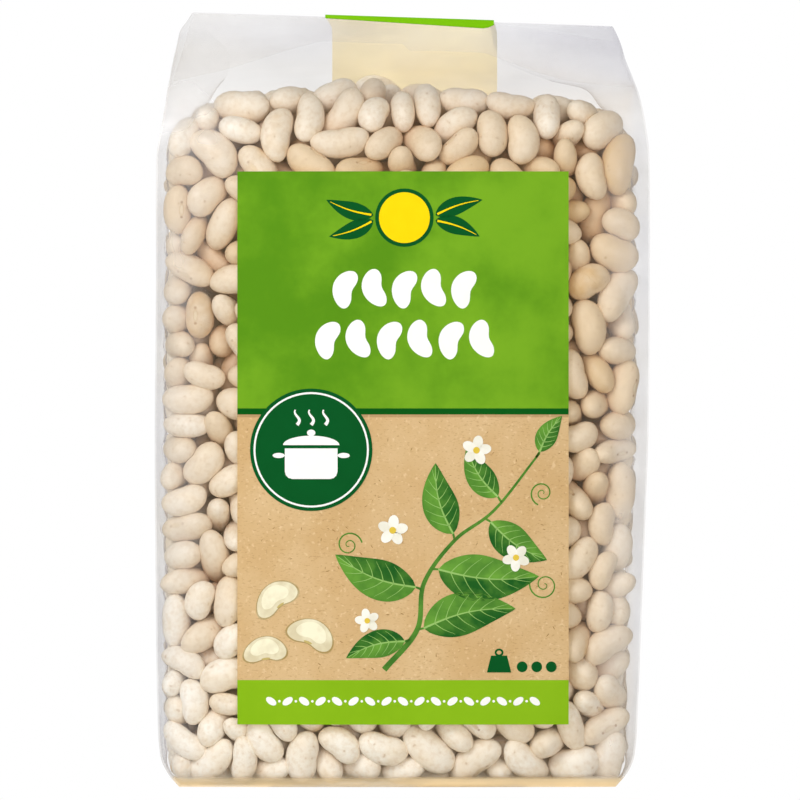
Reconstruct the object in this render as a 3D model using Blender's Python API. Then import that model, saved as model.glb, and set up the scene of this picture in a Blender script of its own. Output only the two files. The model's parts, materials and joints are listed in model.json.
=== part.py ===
"""A clear film bag of dried white beans, about 500 g, standing on its flat block bottom.

The bag has pinched side gussets, four creased upright corners and a top that is folded flat over
towards the back. A paper label lies on the front, and a narrow closing label runs from the front
of the top fold over it and down the back. Metres, +Z up, the front faces -Y, and the origin is
the middle of the bag's footprint on the surface that it stands on.
"""

import math
import random
from collections import namedtuple

import bmesh
import bpy
from mathutils import Matrix, Vector

# The bag's form. Each station is a level cut through the bag: its height, half its width at the
# creased corners, half the distance between a front and a back corner, how far the front and back
# panels bulge past the corners, how far the side panels are pinched in, and how far the cut lies
# towards the back.
Station = namedtuple("Station", "height half_width corner bulge pinch lean")
STATIONS = (
    Station(0.0000, 0.0464, 0.0150, 0.0040, 0.0004, 0.0000),
    Station(0.0030, 0.0489, 0.0165, 0.0050, 0.0010, 0.0000),
    Station(0.0066, 0.0504, 0.0172, 0.0058, 0.0018, 0.0000),
    Station(0.0170, 0.0511, 0.0178, 0.0068, 0.0030, 0.0000),
    Station(0.0440, 0.0518, 0.0180, 0.0072, 0.0036, 0.0000),
    Station(0.0760, 0.0525, 0.0180, 0.0072, 0.0038, 0.0000),
    Station(0.1080, 0.0525, 0.0180, 0.0070, 0.0038, 0.0000),
    Station(0.1346, 0.0524, 0.0175, 0.0066, 0.0044, 0.0000),
    Station(0.1410, 0.0516, 0.0165, 0.0060, 0.0062, 0.0005),
    Station(0.1470, 0.0505, 0.0140, 0.0050, 0.0092, 0.0015),
    Station(0.1520, 0.0491, 0.0105, 0.0034, 0.0120, 0.0030),
    Station(0.1570, 0.0475, 0.0066, 0.0018, 0.0110, 0.0046),
    Station(0.1610, 0.0465, 0.0033, 0.0008, 0.0060, 0.0058),
    Station(0.1640, 0.0453, 0.0014, 0.0002, 0.0020, 0.0064),
    Station(0.1650, 0.0447, 0.0007, 0.0001, 0.0010, 0.0064),
)
PANEL_FULLNESS = 2.6  # how square the front and back bulge is: 2 is a parabola
SIDE_FULLNESS = 4.0  # the same for the side panels, which flare near their creases
LEFT_LEAN = 0.0018  # the foot stands this far to the left of the shoulders
TOP_SLANT = 0.033  # the top fold drops towards the right by this share of the way across
SLANT_FROM = 0.141
BAG_HEIGHT = STATIONS[-1].height
PANEL_STEPS = 8
SIDE_STEPS = 6

# The folded-over end of the film, which lies on the slope behind the top fold
FLAP_HALF_WIDTH = 0.0425
FLAP_ROOT = 0.0004  # how deep it reaches into the bag that it is fused to
FLAP_END = 0.1500
FLAP_THICKNESS = 0.0012
FLAP_RUN_OUT = 0.0015
FLAP_LEVELS = (0.1645, 0.1634, 0.1620, 0.1585, 0.1550, FLAP_END)
CREASE_DEPTH = 0.0025  # the folded end thins out over this depth below the top crease

# The beans that press against the film
BEAN_LENGTH = 0.0118
BEAN_WIDTH = 0.0080
BEAN_THICKNESS = 0.0066
BEAN_BEND = 0.0007
BEAN_SIDES = 6
BEAN_UNDER_FILM = 0.0003
BEAN_SPREAD = 0.10  # sizes vary by this share either way
BEAN_STRETCH = 0.06
BEAN_ROLL = 0.30  # the tilts out of the film's plane, in radians
BEAN_PITCH = 0.16
CORE_INSET = 0.0032  # the core lies this far under the film, and the beans fill the rest
CREASE_SHARPNESS = 8  # how near to a crease the core comes up to the film
BEANS_FROM = 0.0065
BEANS_TO = 0.1465
ROW_PITCH = 0.0094
COLUMN_PITCH = 0.0120
CREASE_MARGIN = 0.0042  # the beans can't enter the sharp corners of the film
SIDE_MARGIN = 0.0024
PLACE_JITTER = 0.0015
SEED = 11

# The labels
LABEL_HALF_WIDTH = 0.0351
LABEL_BOTTOM = 0.0134
LABEL_TOP = 0.1308
CLOSING_HALF_WIDTH = 0.0183
CLOSING_CENTRE = 0.0017
CLOSING_FRONT_END = 0.1622
CLOSING_BACK_END = 0.0180
LABEL_THICKNESS = 0.0004
LABEL_GAP = 0.0003
PAD_MARGIN = 0.0025  # the film backs a label up to this far from the label's edges
PAD_ROOT = 0.0020
BACK_PAD_DROP = 0.0040  # the block behind the closing label ends this far below the flap

COLOURS = {
    "beans": (0.80, 0.68, 0.53),
    "label_green": (0.18, 0.42, 0.03),
    "label_back": (0.85, 0.74, 0.50),
}


def clear_scene():
    for item in list(bpy.data.objects):
        bpy.data.objects.remove(item, do_unlink=True)


def smooth_step(low, high, value):
    share = min(1.0, max(0.0, (value - low) / (high - low)))
    return share * share * (3 - 2 * share)


def cut_at(height):
    """The bag's cut at any height, on smooth curves through the stations."""
    last = len(STATIONS) - 2
    i = next((n for n in range(last) if height < STATIONS[n + 1].height), last)
    low, high = STATIONS[i], STATIONS[i + 1]
    before, after = STATIONS[max(0, i - 1)], STATIONS[min(last + 1, i + 2)]
    span = high.height - low.height
    t = min(1.0, max(0.0, (height - low.height) / span))
    values = []
    for a, b, c, d in zip(before[1:], low[1:], high[1:], after[1:]):
        start = span * (c - a) / (high.height - before.height)
        end = span * (d - b) / (after.height - low.height)
        values.append(
            (2 * t**3 - 3 * t**2 + 1) * b
            + (t**3 - 2 * t**2 + t) * start
            + (3 * t**2 - 2 * t**3) * c
            + (t**3 - t**2) * end
        )
    return Station(height, *values)


def middle_at(height):
    """How far the cut's middle lies to the right."""
    return -LEFT_LEAN * (1 - smooth_step(0.0, 0.110, height))


def panel_depth(cut, x):
    """How far the film of the front or back panel lies from the cut's middle line."""
    share = min(1.0, abs(x - middle_at(cut.height)) / cut.half_width)
    return cut.corner + cut.bulge * (1 - share**PANEL_FULLNESS)


def front_film(x, height):
    cut = cut_at(height)
    return Vector((x, cut.lean - panel_depth(cut, x), height))


def flap_cover(x, height):
    """The thickness that the folded-over end adds to the back, at this height."""
    if abs(x) > FLAP_HALF_WIDTH:
        return 0.0
    thinned = 1 - 0.8 * smooth_step(BAG_HEIGHT - CREASE_DEPTH, BAG_HEIGHT, height)
    return FLAP_THICKNESS * thinned * smooth_step(FLAP_END - FLAP_RUN_OUT, FLAP_END, height)


def back_film(x, height):
    cut = cut_at(height)
    return Vector((x, cut.lean + panel_depth(cut, x), height))


def side_film(side, y, height):
    """The side panel at this depth. side is -1 for the left and 1 for the right."""
    cut = cut_at(height)
    share = min(1.0, abs(y - cut.lean) / cut.corner)
    out = cut.half_width - cut.pinch * (1 - share**SIDE_FULLNESS)
    return Vector((middle_at(height) + side * out, y, height))


def outward(film, across, height):
    """The unit normal of a film panel, which points out of the bag."""
    step = 0.0004
    along = film(across + step, height) - film(across - step, height)
    up = film(across, height + step) - film(across, height - step)
    normal = along.cross(up).normalized()
    out_of_middle = film(across, height) - Vector((middle_at(height), 0.0, height))
    return normal if normal.dot(out_of_middle) > 0 else -normal


def slanted(point):
    """The top fold isn't quite level: it drops towards the right."""
    ramp = smooth_step(SLANT_FROM, BAG_HEIGHT, point.z)
    return Vector((point.x, point.y, point.z - TOP_SLANT * (point.x + 0.045) * ramp))


def material(name, colour, roughness):
    made = bpy.data.materials.new(name)
    made.use_nodes = True
    shader = made.node_tree.nodes["Principled BSDF"]
    shader.inputs["Base Color"].default_value = (*colour, 1.0)
    shader.inputs["Roughness"].default_value = roughness
    shader.inputs["Metallic"].default_value = 0.0
    return made


def object_from(name, points, faces, finish=None):
    """An object from points and faces, its top slanted and its faces turned outwards."""
    mesh = bpy.data.meshes.new(name)
    mesh.from_pydata([slanted(p) for p in points], [], faces)
    work = bmesh.new()
    work.from_mesh(mesh)
    bmesh.ops.recalc_face_normals(work, faces=work.faces)
    work.to_mesh(mesh)
    work.free()
    if finish is not None:
        mesh.materials.append(finish)
    made = bpy.data.objects.new(name, mesh)
    bpy.context.scene.collection.objects.link(made)
    return made


def spaced(steps):
    """Values from -1 to 1, closer together near the ends, where the film turns."""
    return [math.sin(math.pi / 2 * (2 * i / steps - 1)) for i in range(steps + 1)]


def core_ring(cut):
    """The outline of the bag's core at one height. The core lies under the film by the beans'
    depth in the middle of each panel, and meets the film at the creased corners."""
    filled = smooth_step(0.001, 0.008, cut.height)
    filled *= 1 - smooth_step(0.143, 0.150, cut.height)
    inset = CORE_INSET * filled
    middle = middle_at(cut.height)
    ring = []
    for facing in (-1, 1):
        for share in spaced(PANEL_STEPS):
            x = middle - facing * cut.half_width * share
            depth = panel_depth(cut, x) - inset * (1 - abs(share) ** CREASE_SHARPNESS)
            ring.append(Vector((x, cut.lean + facing * depth, cut.height)))
        for share in spaced(SIDE_STEPS)[1:-1]:
            out = cut.half_width - (cut.pinch + inset) * (1 - abs(share) ** SIDE_FULLNESS)
            y = cut.lean + facing * -share * cut.corner
            ring.append(Vector((middle - facing * out, y, cut.height)))
    return ring


def bag_core():
    """The bag without its beans: rings through the stations, closed by a flat foot and top."""
    rings = [core_ring(cut) for cut in STATIONS]
    points = [p for ring in rings for p in ring]
    count = len(rings[0])
    faces = [tuple(range(count)), tuple(range(len(points) - count, len(points)))]
    for level in range(len(rings) - 1):
        base = level * count
        for i in range(count):
            j = (i + 1) % count
            faces.append((base + i, base + j, base + count + j, base + count + i))
    return object_from("bag", points, faces)


def slab(name, columns, finish=None):
    """A closed sheet. Each column is a list of pairs: a point of the inner face and one of the
    outer face, in order along the sheet."""
    rows = len(columns[0])
    points = [p for column in columns for pair in column for p in pair]

    def at(column, row, face):
        return (column * rows + row) * 2 + face

    faces = []
    for c in range(len(columns) - 1):
        for r in range(rows - 1):
            for face in (0, 1):
                faces.append(
                    (
                        at(c, r, face),
                        at(c + 1, r, face),
                        at(c + 1, r + 1, face),
                        at(c, r + 1, face),
                    )
                )
        for r in (0, rows - 1):
            faces.append((at(c, r, 0), at(c + 1, r, 0), at(c + 1, r, 1), at(c, r, 1)))
    for c in (0, len(columns) - 1):
        for r in range(rows - 1):
            faces.append((at(c, r, 0), at(c, r + 1, 0), at(c, r + 1, 1), at(c, r, 1)))
    return object_from(name, points, faces, finish)


def steps_between(low, high, count):
    return [low + (high - low) * i / count for i in range(count + 1)]


def on_panel(film, across, height, inner, outer):
    """A pair of points at two distances outside a panel of film."""
    place = film(across, height)
    normal = outward(film, across, height)
    return place + normal * inner, place + normal * outer


def top_flap():
    """The end of the film, folded over the top and lying on the slope behind it."""
    columns = [
        [on_panel(back_film, x, z, -FLAP_ROOT, flap_cover(x, z)) for z in FLAP_LEVELS]
        for x in steps_between(-FLAP_HALF_WIDTH, FLAP_HALF_WIDTH, 6)
    ]
    return slab("flap", columns)


def label_pad(film, centre, half_width, low, high):
    """The beans behind a label are never seen: this block fills their place up to the film."""
    columns = [
        [on_panel(film, x, z, -CORE_INSET - PAD_ROOT, 0.0) for z in steps_between(low, high, 6)]
        for x in steps_between(centre - half_width, centre + half_width, 4)
    ]
    return slab("pad", columns)


def panels():
    """The bag's four sides: the film of each, and which coordinate runs across it."""
    return (
        (front_film, 0),
        (back_film, 0),
        (lambda y, z: side_film(-1, y, z), 1),
        (lambda y, z: side_film(1, y, z), 1),
    )


def held_in(points):
    """A bean's points, moved until none is nearer to any film than it may be."""
    for film, axis in panels():
        middle = sum(points, Vector()) / len(points)
        normal = outward(film, middle[axis], middle.z)
        reach = max((p - film(p[axis], p.z)).dot(normal) for p in points)
        push = max(0.0, reach + BEAN_UNDER_FILM)
        points = [p - normal * push for p in points]
    return points


def bean(rng, place, normal):
    """One bean of few sides, turned at random in the film's plane: a kidney outline round its
    middle, a smaller ring above it, and a point at its top and bottom."""
    scale = 1 + rng.uniform(-BEAN_SPREAD, BEAN_SPREAD)
    length = BEAN_LENGTH * scale * (1 + rng.uniform(-BEAN_STRETCH, BEAN_STRETCH))
    width = BEAN_WIDTH * scale
    thickness = BEAN_THICKNESS * scale
    points = [(0.0, 0.0, -thickness / 2)]
    for level, size in ((0.0, 1.0), (0.32, 0.75)):
        for i in range(BEAN_SIDES):
            angle = 2 * math.pi * i / BEAN_SIDES
            along = math.cos(angle)
            side = math.sin(angle) * width / 2 - BEAN_BEND * (2 * along**2 - 1)
            points.append((along * size * length / 2, side * size, level * thickness))
    points.append((0.0, BEAN_BEND, thickness / 2))
    faces = []
    for i in range(BEAN_SIDES):
        a, b = 1 + i, 1 + (i + 1) % BEAN_SIDES
        faces += [
            (0, b, a),
            (a, b, b + BEAN_SIDES, a + BEAN_SIDES),
            (a + BEAN_SIDES, b + BEAN_SIDES, len(points) - 1),
        ]
    tilt = Matrix.Rotation(rng.uniform(-BEAN_ROLL, BEAN_ROLL), 3, "X")
    tilt @= Matrix.Rotation(rng.uniform(-BEAN_PITCH, BEAN_PITCH), 3, "Y")
    turn = normal.to_track_quat("Z", "Y").to_matrix()
    turn @= Matrix.Rotation(rng.uniform(0, 2 * math.pi), 3, "Z") @ tilt
    centre = place - normal * (thickness / 2)
    return object_from("bean", held_in([centre + turn @ Vector(p) for p in points]), faces)


def covered(film, x, height):
    """True where a label and its pad hide the beans."""
    if film is front_film:
        inside = LABEL_BOTTOM + PAD_MARGIN < height < LABEL_TOP - PAD_MARGIN
        return inside and abs(x) < LABEL_HALF_WIDTH - PAD_MARGIN
    if film is back_film:
        return height > CLOSING_BACK_END + PAD_MARGIN and (
            abs(x - CLOSING_CENTRE) < CLOSING_HALF_WIDTH - PAD_MARGIN
        )
    return False


def beans_on(rng, film, half_room):
    """Staggered rows of beans behind one panel, each moved a little at random."""
    made = []
    rows = int((BEANS_TO - BEANS_FROM) / ROW_PITCH) + 1
    for row in range(rows):
        height = BEANS_FROM + (BEANS_TO - BEANS_FROM) * row / (rows - 1)
        room = half_room(height)
        columns = int(2 * room / COLUMN_PITCH) + row % 2
        for column in range(columns):
            across = room * (2 * (column + 0.5) / columns - 1)
            across += rng.uniform(-PLACE_JITTER, PLACE_JITTER)
            z = height + rng.uniform(-PLACE_JITTER, PLACE_JITTER)
            z = max(z, BEANS_FROM)
            if not covered(film, across, z):
                made.append(bean(rng, film(across, z), outward(film, across, z)))
    return made


def relief():
    """Every bean that shows through the film, on all four sides."""
    rng = random.Random(SEED)
    made = []
    for film in (front_film, back_film):
        made += beans_on(rng, film, lambda z: cut_at(z).half_width - CREASE_MARGIN)
    for side in (-1, 1):
        made += beans_on(
            rng,
            lambda y, z, side=side: side_film(side, y, z),
            lambda z: cut_at(z).corner - SIDE_MARGIN,
        )
    return made


def largest_body(mesh):
    """Drops loose scraps and sealed hollows, so that one closed surface is left."""
    work = bmesh.new()
    work.from_mesh(mesh)
    left = set(work.verts)
    bodies = []
    while left:
        found, edge = set(), [next(iter(left))]
        while edge:
            vert = edge.pop()
            if vert in found:
                continue
            found.add(vert)
            edge.extend(e.other_vert(vert) for e in vert.link_edges)
        left -= found
        bodies.append(found)
    keep = max(bodies, key=len)
    bmesh.ops.delete(work, geom=[v for v in work.verts if v not in keep], context="VERTS")
    bmesh.ops.triangulate(work, faces=work.faces)
    work.to_mesh(mesh)
    work.free()


def fuse(base, others, finish):
    """Joins the others to the base in one Boolean union, then removes them."""
    group = bpy.data.collections.new("fused")
    bpy.context.scene.collection.children.link(group)
    for item in others:
        bpy.context.scene.collection.objects.unlink(item)
        group.objects.link(item)
    union = base.modifiers.new("union", "BOOLEAN")
    union.operation = "UNION"
    union.operand_type = "COLLECTION"
    union.collection = group
    union.solver = "EXACT"
    graph = bpy.context.evaluated_depsgraph_get()
    joined = bpy.data.meshes.new_from_object(base.evaluated_get(graph))
    base.modifiers.remove(union)
    largest_body(joined)
    base.data = joined
    base.data.materials.clear()
    base.data.materials.append(finish)
    for item in others:
        bpy.data.objects.remove(item, do_unlink=True)
    bpy.data.collections.remove(group)


def build_bag():
    bag = bag_core()
    front_pad = label_pad(
        front_film,
        0.0,
        LABEL_HALF_WIDTH - PAD_MARGIN,
        LABEL_BOTTOM + PAD_MARGIN,
        LABEL_TOP - PAD_MARGIN,
    )
    back_pad = label_pad(
        back_film,
        CLOSING_CENTRE,
        CLOSING_HALF_WIDTH - PAD_MARGIN,
        CLOSING_BACK_END + PAD_MARGIN,
        FLAP_END - BACK_PAD_DROP,
    )
    parts = [top_flap(), front_pad, back_pad] + relief()
    fuse(bag, parts, material("beans_in_film", COLOURS["beans"], 0.35))
    return bag


def build_front_label():
    """The paper label, which follows the bulge of the front."""
    finish = material("printed_paper", COLOURS["label_green"], 0.5)
    columns = [
        [
            on_panel(front_film, x, z, LABEL_GAP, LABEL_GAP + LABEL_THICKNESS)
            for z in steps_between(LABEL_BOTTOM, LABEL_TOP, 8)
        ]
        for x in steps_between(-LABEL_HALF_WIDTH, LABEL_HALF_WIDTH, 8)
    ]
    return slab("front_label", columns, finish)


def closing_path(x):
    """The bag's outline under the closing label: up the front of the top fold, over it, down the
    folded flap and down the back."""
    path = [front_film(x, z) for z in (CLOSING_FRONT_END, CLOSING_FRONT_END + 0.0012)]
    top = STATIONS[-1]
    path += [Vector((x, top.lean + side * top.corner, top.height)) for side in (-1, 1)]
    heights = [*FLAP_LEVELS, FLAP_END - FLAP_RUN_OUT, 0.1450, 0.1400]
    heights += steps_between(0.1340, CLOSING_BACK_END, 6)
    for z in heights:
        cover = flap_cover(x, z)
        path.append(back_film(x, z) + outward(back_film, x, z) * cover)
    return path


def beside(path, distance):
    """The path moved outwards in its own upright plane, mitred at its bends."""
    ways = [(b - a).normalized() for a, b in zip(path, path[1:])]
    ways = [ways[0], *ways, ways[-1]]
    moved = []
    for point, before, after in zip(path, ways, ways[1:]):
        along = (before + after).normalized()
        mitre = distance / max(0.6, along.dot(after))
        moved.append(point + Vector((0.0, -along.z, along.y)) * mitre)
    return moved


def build_closing_label():
    finish = material("closing_paper", COLOURS["label_back"], 0.5)
    columns = []
    for x in steps_between(
        CLOSING_CENTRE - CLOSING_HALF_WIDTH, CLOSING_CENTRE + CLOSING_HALF_WIDTH, 4
    ):
        path = closing_path(x)
        inner = beside(path, LABEL_GAP)
        outer = beside(path, LABEL_GAP + LABEL_THICKNESS)
        columns.append(list(zip(inner, outer)))
    return slab("closing_label", columns, finish)


def build():
    clear_scene()
    build_bag()
    build_front_label()
    build_closing_label()


build()
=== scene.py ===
"""The looks of a clear film bag of dried white beans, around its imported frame.

Clear, slightly hazy film clings to about eighteen hundred loose beans. The beans are poured into
the bag's form by a small settling routine, and each is a real mesh. A paper label lies on the
front, and a narrow closing label holds the folded top shut and runs down the back. Metres, +Z
up, and the front faces -Y.
"""

import json
import math

import bmesh
import bpy
import numpy as np
from mathutils import Matrix, Quaternion, Vector
from mathutils.geometry import tessellate_polygon

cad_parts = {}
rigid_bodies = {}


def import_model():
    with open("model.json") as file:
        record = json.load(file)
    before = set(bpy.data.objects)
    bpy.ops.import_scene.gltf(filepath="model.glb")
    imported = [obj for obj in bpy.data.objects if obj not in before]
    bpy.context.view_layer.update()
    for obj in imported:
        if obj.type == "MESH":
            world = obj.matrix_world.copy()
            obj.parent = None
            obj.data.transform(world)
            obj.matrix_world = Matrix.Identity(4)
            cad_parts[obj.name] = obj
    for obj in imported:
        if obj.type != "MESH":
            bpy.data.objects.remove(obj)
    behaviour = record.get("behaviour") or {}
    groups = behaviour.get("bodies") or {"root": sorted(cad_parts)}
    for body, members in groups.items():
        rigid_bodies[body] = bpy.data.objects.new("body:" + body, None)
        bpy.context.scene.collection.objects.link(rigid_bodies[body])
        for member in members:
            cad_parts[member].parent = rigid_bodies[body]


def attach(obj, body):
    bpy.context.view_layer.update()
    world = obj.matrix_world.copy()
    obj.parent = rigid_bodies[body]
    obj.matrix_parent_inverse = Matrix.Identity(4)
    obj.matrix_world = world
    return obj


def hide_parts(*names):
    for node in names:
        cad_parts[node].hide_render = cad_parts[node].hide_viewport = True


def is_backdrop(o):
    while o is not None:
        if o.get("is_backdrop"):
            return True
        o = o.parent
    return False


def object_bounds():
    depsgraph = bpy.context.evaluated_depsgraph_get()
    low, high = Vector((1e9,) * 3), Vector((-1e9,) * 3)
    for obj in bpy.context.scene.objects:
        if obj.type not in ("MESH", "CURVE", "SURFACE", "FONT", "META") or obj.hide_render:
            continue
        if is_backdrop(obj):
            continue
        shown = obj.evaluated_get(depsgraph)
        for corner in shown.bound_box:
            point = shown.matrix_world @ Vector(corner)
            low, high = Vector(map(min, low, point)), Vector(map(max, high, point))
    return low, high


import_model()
CAD_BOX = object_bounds()

# The bag's form, as in the part's source. Each station is a level cut: its height, half its width
# at the creased corners, half the distance between a front and a back corner, the bulge of the
# front and back, the pinch of the sides, and how far the cut lies towards the back.
STATIONS = np.array(
    (
        (0.0000, 0.0464, 0.0150, 0.0040, 0.0004, 0.0000),
        (0.0030, 0.0489, 0.0165, 0.0050, 0.0010, 0.0000),
        (0.0066, 0.0504, 0.0172, 0.0058, 0.0018, 0.0000),
        (0.0170, 0.0511, 0.0178, 0.0068, 0.0030, 0.0000),
        (0.0440, 0.0518, 0.0180, 0.0072, 0.0036, 0.0000),
        (0.0760, 0.0525, 0.0180, 0.0072, 0.0038, 0.0000),
        (0.1080, 0.0525, 0.0180, 0.0070, 0.0038, 0.0000),
        (0.1346, 0.0524, 0.0175, 0.0066, 0.0044, 0.0000),
        (0.1410, 0.0516, 0.0165, 0.0060, 0.0062, 0.0005),
        (0.1470, 0.0505, 0.0140, 0.0050, 0.0092, 0.0015),
        (0.1520, 0.0491, 0.0105, 0.0034, 0.0120, 0.0030),
        (0.1570, 0.0475, 0.0066, 0.0018, 0.0110, 0.0046),
        (0.1610, 0.0465, 0.0033, 0.0008, 0.0060, 0.0058),
        (0.1640, 0.0453, 0.0014, 0.0002, 0.0020, 0.0064),
        (0.1650, 0.0447, 0.0007, 0.0001, 0.0010, 0.0064),
    )
)
LEVELS = STATIONS[:, 0]
BAG_HEIGHT = LEVELS[-1]
PANEL_FULLNESS = 2.6
SIDE_FULLNESS = 4.0
LEFT_LEAN = 0.0012
LEAN_TO = 0.110
TOP_SLANT = 0.033
SLANT_FROM = 0.141
SLANT_EDGE = 0.045

# Above the beans the empty gusset on the right tucks in deep between the front and the back:
# height, how deep
TUCK = ((0.1440, 0.0060), (0.1480, 0.0090), (0.1498, 0.0120), (0.1513, 0.0180))
TUCK += ((0.1535, 0.0225), (0.1560, 0.0268), (0.1600, 0.0275), (0.1650, 0.0265))
# Its left edge has small kinks there: height, how far out
LEFT_KINKS = ((0.1346, 0.0), (0.1400, -0.0003), (0.1453, -0.0003), (0.1507, 0.0002))
LEFT_KINKS += ((0.1560, 0.0009), (0.1610, 0.0011), (0.1635, 0.0003), (0.1650, 0.0002))
# The beans press the sides out again below the top: the share of the pinch that is left
LEFT_PINCH = 0.5
RIGHT_PINCH = 0.85
PRESSED_TO = 0.1346
PINCHED_FROM = 0.1470
TUCK_SHARP_FROM = 0.1420
TUCK_SHARP_TO = 0.1520

# The beans
BEAN_LENGTH = 0.0110
BEAN_WIDTH = 0.0066
BEAN_THICKNESS = 0.0058
SCAR_LENGTH = 0.0021
SCAR_WIDTH = 0.0008
# Each kind: its length, width and thickness as shares of those, its bend, and its fatter end
BEAN_KINDS = (
    (1.00, 1.00, 1.00, 0.0006, 0.02),
    (1.06, 0.95, 0.98, 0.0009, -0.03),
    (0.92, 1.04, 1.02, 0.0004, 0.03),
    (1.02, 1.05, 0.94, 0.0005, -0.02),
    (1.10, 0.94, 0.97, 0.0008, 0.03),
    (0.95, 1.00, 1.03, 0.0008, -0.03),
    (1.03, 1.02, 0.97, 0.0003, 0.01),
    (0.86, 1.02, 1.00, 0.0005, 0.00),
)
BEAN_COUNT = 1795
BEAN_SIZE_SPREAD = 0.09
# How high the heap reaches from left to right: place, height
HEAP = ((-0.050, 0.1405), (-0.044, 0.1440), (-0.037, 0.1480), (-0.018, 0.1495), (-0.008, 0.1520))
HEAP += ((0.000, 0.1520), (0.009, 0.1493), (0.026, 0.1478), (0.036, 0.1468))
HEAP += ((0.042, 0.1445), (0.050, 0.1420))
# Where they start: how many lie across and in depth, how far they spread, and over what height
START_COLUMNS = 10
START_ROWS = 5
START_WIDTH = 0.092
START_DEPTH = 0.040
START_BASE = 0.004
START_TOP = 0.146
START_SCATTER = 0.002
LEFT_FIN = 0.0002  # the empty film beyond the beans at the creased corners on the left
RIGHT_FIN = 0.0006
FILM_ROOM = 0.0004  # the beans stop this far short of the film's own form
POUR_STEPS = 340
SINK_STEP = 0.00002
OUTWARD_STEP = 0.00003  # the outer beans are pressed on to the film
POUR_SEED = 5
SHOWN_DEPTH = 0.0105  # a bean whose middle is nearer to the film than this can be seen
FRONT_FROM = -0.006

# How much of the light the film stops: over the beans, in the empty top, and in the tucked sides
PANEL_VEIL = 0.07
TOP_VEIL = 0.155
GUSSET_VEIL = 0.10
FOOT_VEIL = 0.70  # where the film is folded in layers along the foot
FOOT_FOLD = 0.0019
# The wide pale glare on the upper left of the front, where the film turns to the light
GLARE_X = -0.046
GLARE_Z = 0.137
GLARE_WIDTH = 0.010
GLARE_HEIGHT = 0.013

# The labels
LABEL_HALF_WIDTH = 0.0351
LABEL_BOTTOM = 0.0134
LABEL_TOP = 0.1308
DARK_LINE_TOP = 0.0805
DARK_LINE_BOTTOM = 0.0792
LOW_STRIP_TOP = 0.0228
CLOSING_HALF_WIDTH = 0.0176
CLOSING_CENTRE = 0.0025
CLOSING_FRONT_HALF = 0.0180
CLOSING_FRONT_CENTRE = 0.0014
CLOSING_BACK_END = 0.0180
CLOSING_LINE_TOP = 0.118
CLOSING_LINE_BOTTOM = 0.115
CLOSING_STRIP_TOP = 0.028
CLOSING_TOP_ROWS = 4  # the rows of faces in front of the top and over it
PAPER_THICKNESS = 0.00018
PAPER_GAP = 0.0003
GLUED_LIFT = 0.0002  # the film behind a label is drawn out to the paper
INK = 0.00003
INK_PLANE_Y = -0.06  # the print is drawn here, in front of the bag, before it is laid on the paper
PRINT_GLOSS = {"Roughness": 0.6, "Specular_IOR_Level": 0.06}

# The folded-over end of the film on the back of the top
FLAP_HALF_WIDTH = 0.0425
FLAP_END = 0.1500
FLAP_THICKNESS = 0.0012
# How low it reaches on the right and on the left of the middle: place, height
FLAP_RIGHT = ((0.0160, 0.1580), (0.0201, 0.1560), (0.0255, 0.1534), (0.0303, 0.1514))
FLAP_RIGHT += ((0.0378, 0.1504), (0.0425, 0.1500))
FLAP_LEFT = ((0.0160, 0.1595), (0.0240, 0.1568), (0.0340, 0.1526), (0.0425, 0.1502))

# The photograph: its pixels are square, and this many metres wide at the front of the bag
PIXEL = 0.2126e-3
PHOTO_SIDE = 800
BASE_ROW = 787
MIDDLE_COLUMN = 403
CAMERA_DISTANCE = 6.0
FRONT_CORNER_Y = -0.018  # the depth at which the pixels have that size
SENSOR = 36.0
WORLD_STRENGTH = 0.36
KEY_POWER = 11.1
FILL_POWER = 4.0


def smooth_step(low, high, value):
    share = np.clip((value - low) / (high - low), 0.0, 1.0)
    return share * share * (3 - 2 * share)


def table_at(table, place):
    """The value at a place in a table of places and values."""
    return np.interp(place, *np.array(table).T)


def cuts_at(z):
    """Half width, corner, bulge, pinch and lean of the bag at each height, on smooth curves."""
    z = np.clip(z, 0.0, BAG_HEIGHT)
    last = len(LEVELS) - 1
    i = np.clip(np.searchsorted(LEVELS, z, side="right") - 1, 0, last - 1)
    before, after = np.maximum(0, i - 1), np.minimum(last, i + 2)
    span = LEVELS[i + 1] - LEVELS[i]
    t = ((z - LEVELS[i]) / span)[..., None]
    start = (STATIONS[i + 1] - STATIONS[before]) * (span / (LEVELS[i + 1] - LEVELS[before]))[..., None]
    end = (STATIONS[after] - STATIONS[i]) * (span / (LEVELS[after] - LEVELS[i]))[..., None]
    cut = (
        (2 * t**3 - 3 * t**2 + 1) * STATIONS[i]
        + (t**3 - 2 * t**2 + t) * start
        + (3 * t**2 - 2 * t**3) * STATIONS[i + 1]
        + (t**3 - t**2) * end
    )
    return cut[..., 1:]


def pinch_left(share, z):
    """The share of the pinch that the beans leave at each height."""
    return share + (1 - share) * smooth_step(PRESSED_TO, PINCHED_FROM, z)


def middle_at(z):
    return -LEFT_LEAN * (1 - smooth_step(0.0, LEAN_TO, z))


def panel_depth(x, half_width, corner, bulge):
    """How far the front and back film lie from the middle of a cut."""
    share = np.minimum(1.0, np.abs(x) / half_width)
    return corner + bulge * (1 - share**PANEL_FULLNESS)


def panel_film(facing, x, z):
    """Points on the front (facing -1) or back (facing 1) panel."""
    x, z = np.broadcast_arrays(np.asarray(x, float), np.asarray(z, float))
    half_width, corner, bulge, _, lean = np.moveaxis(cuts_at(z), -1, 0)
    depth = panel_depth(x - middle_at(z), half_width, corner, bulge)
    return np.stack((x, lean + facing * depth, z), -1)


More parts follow.
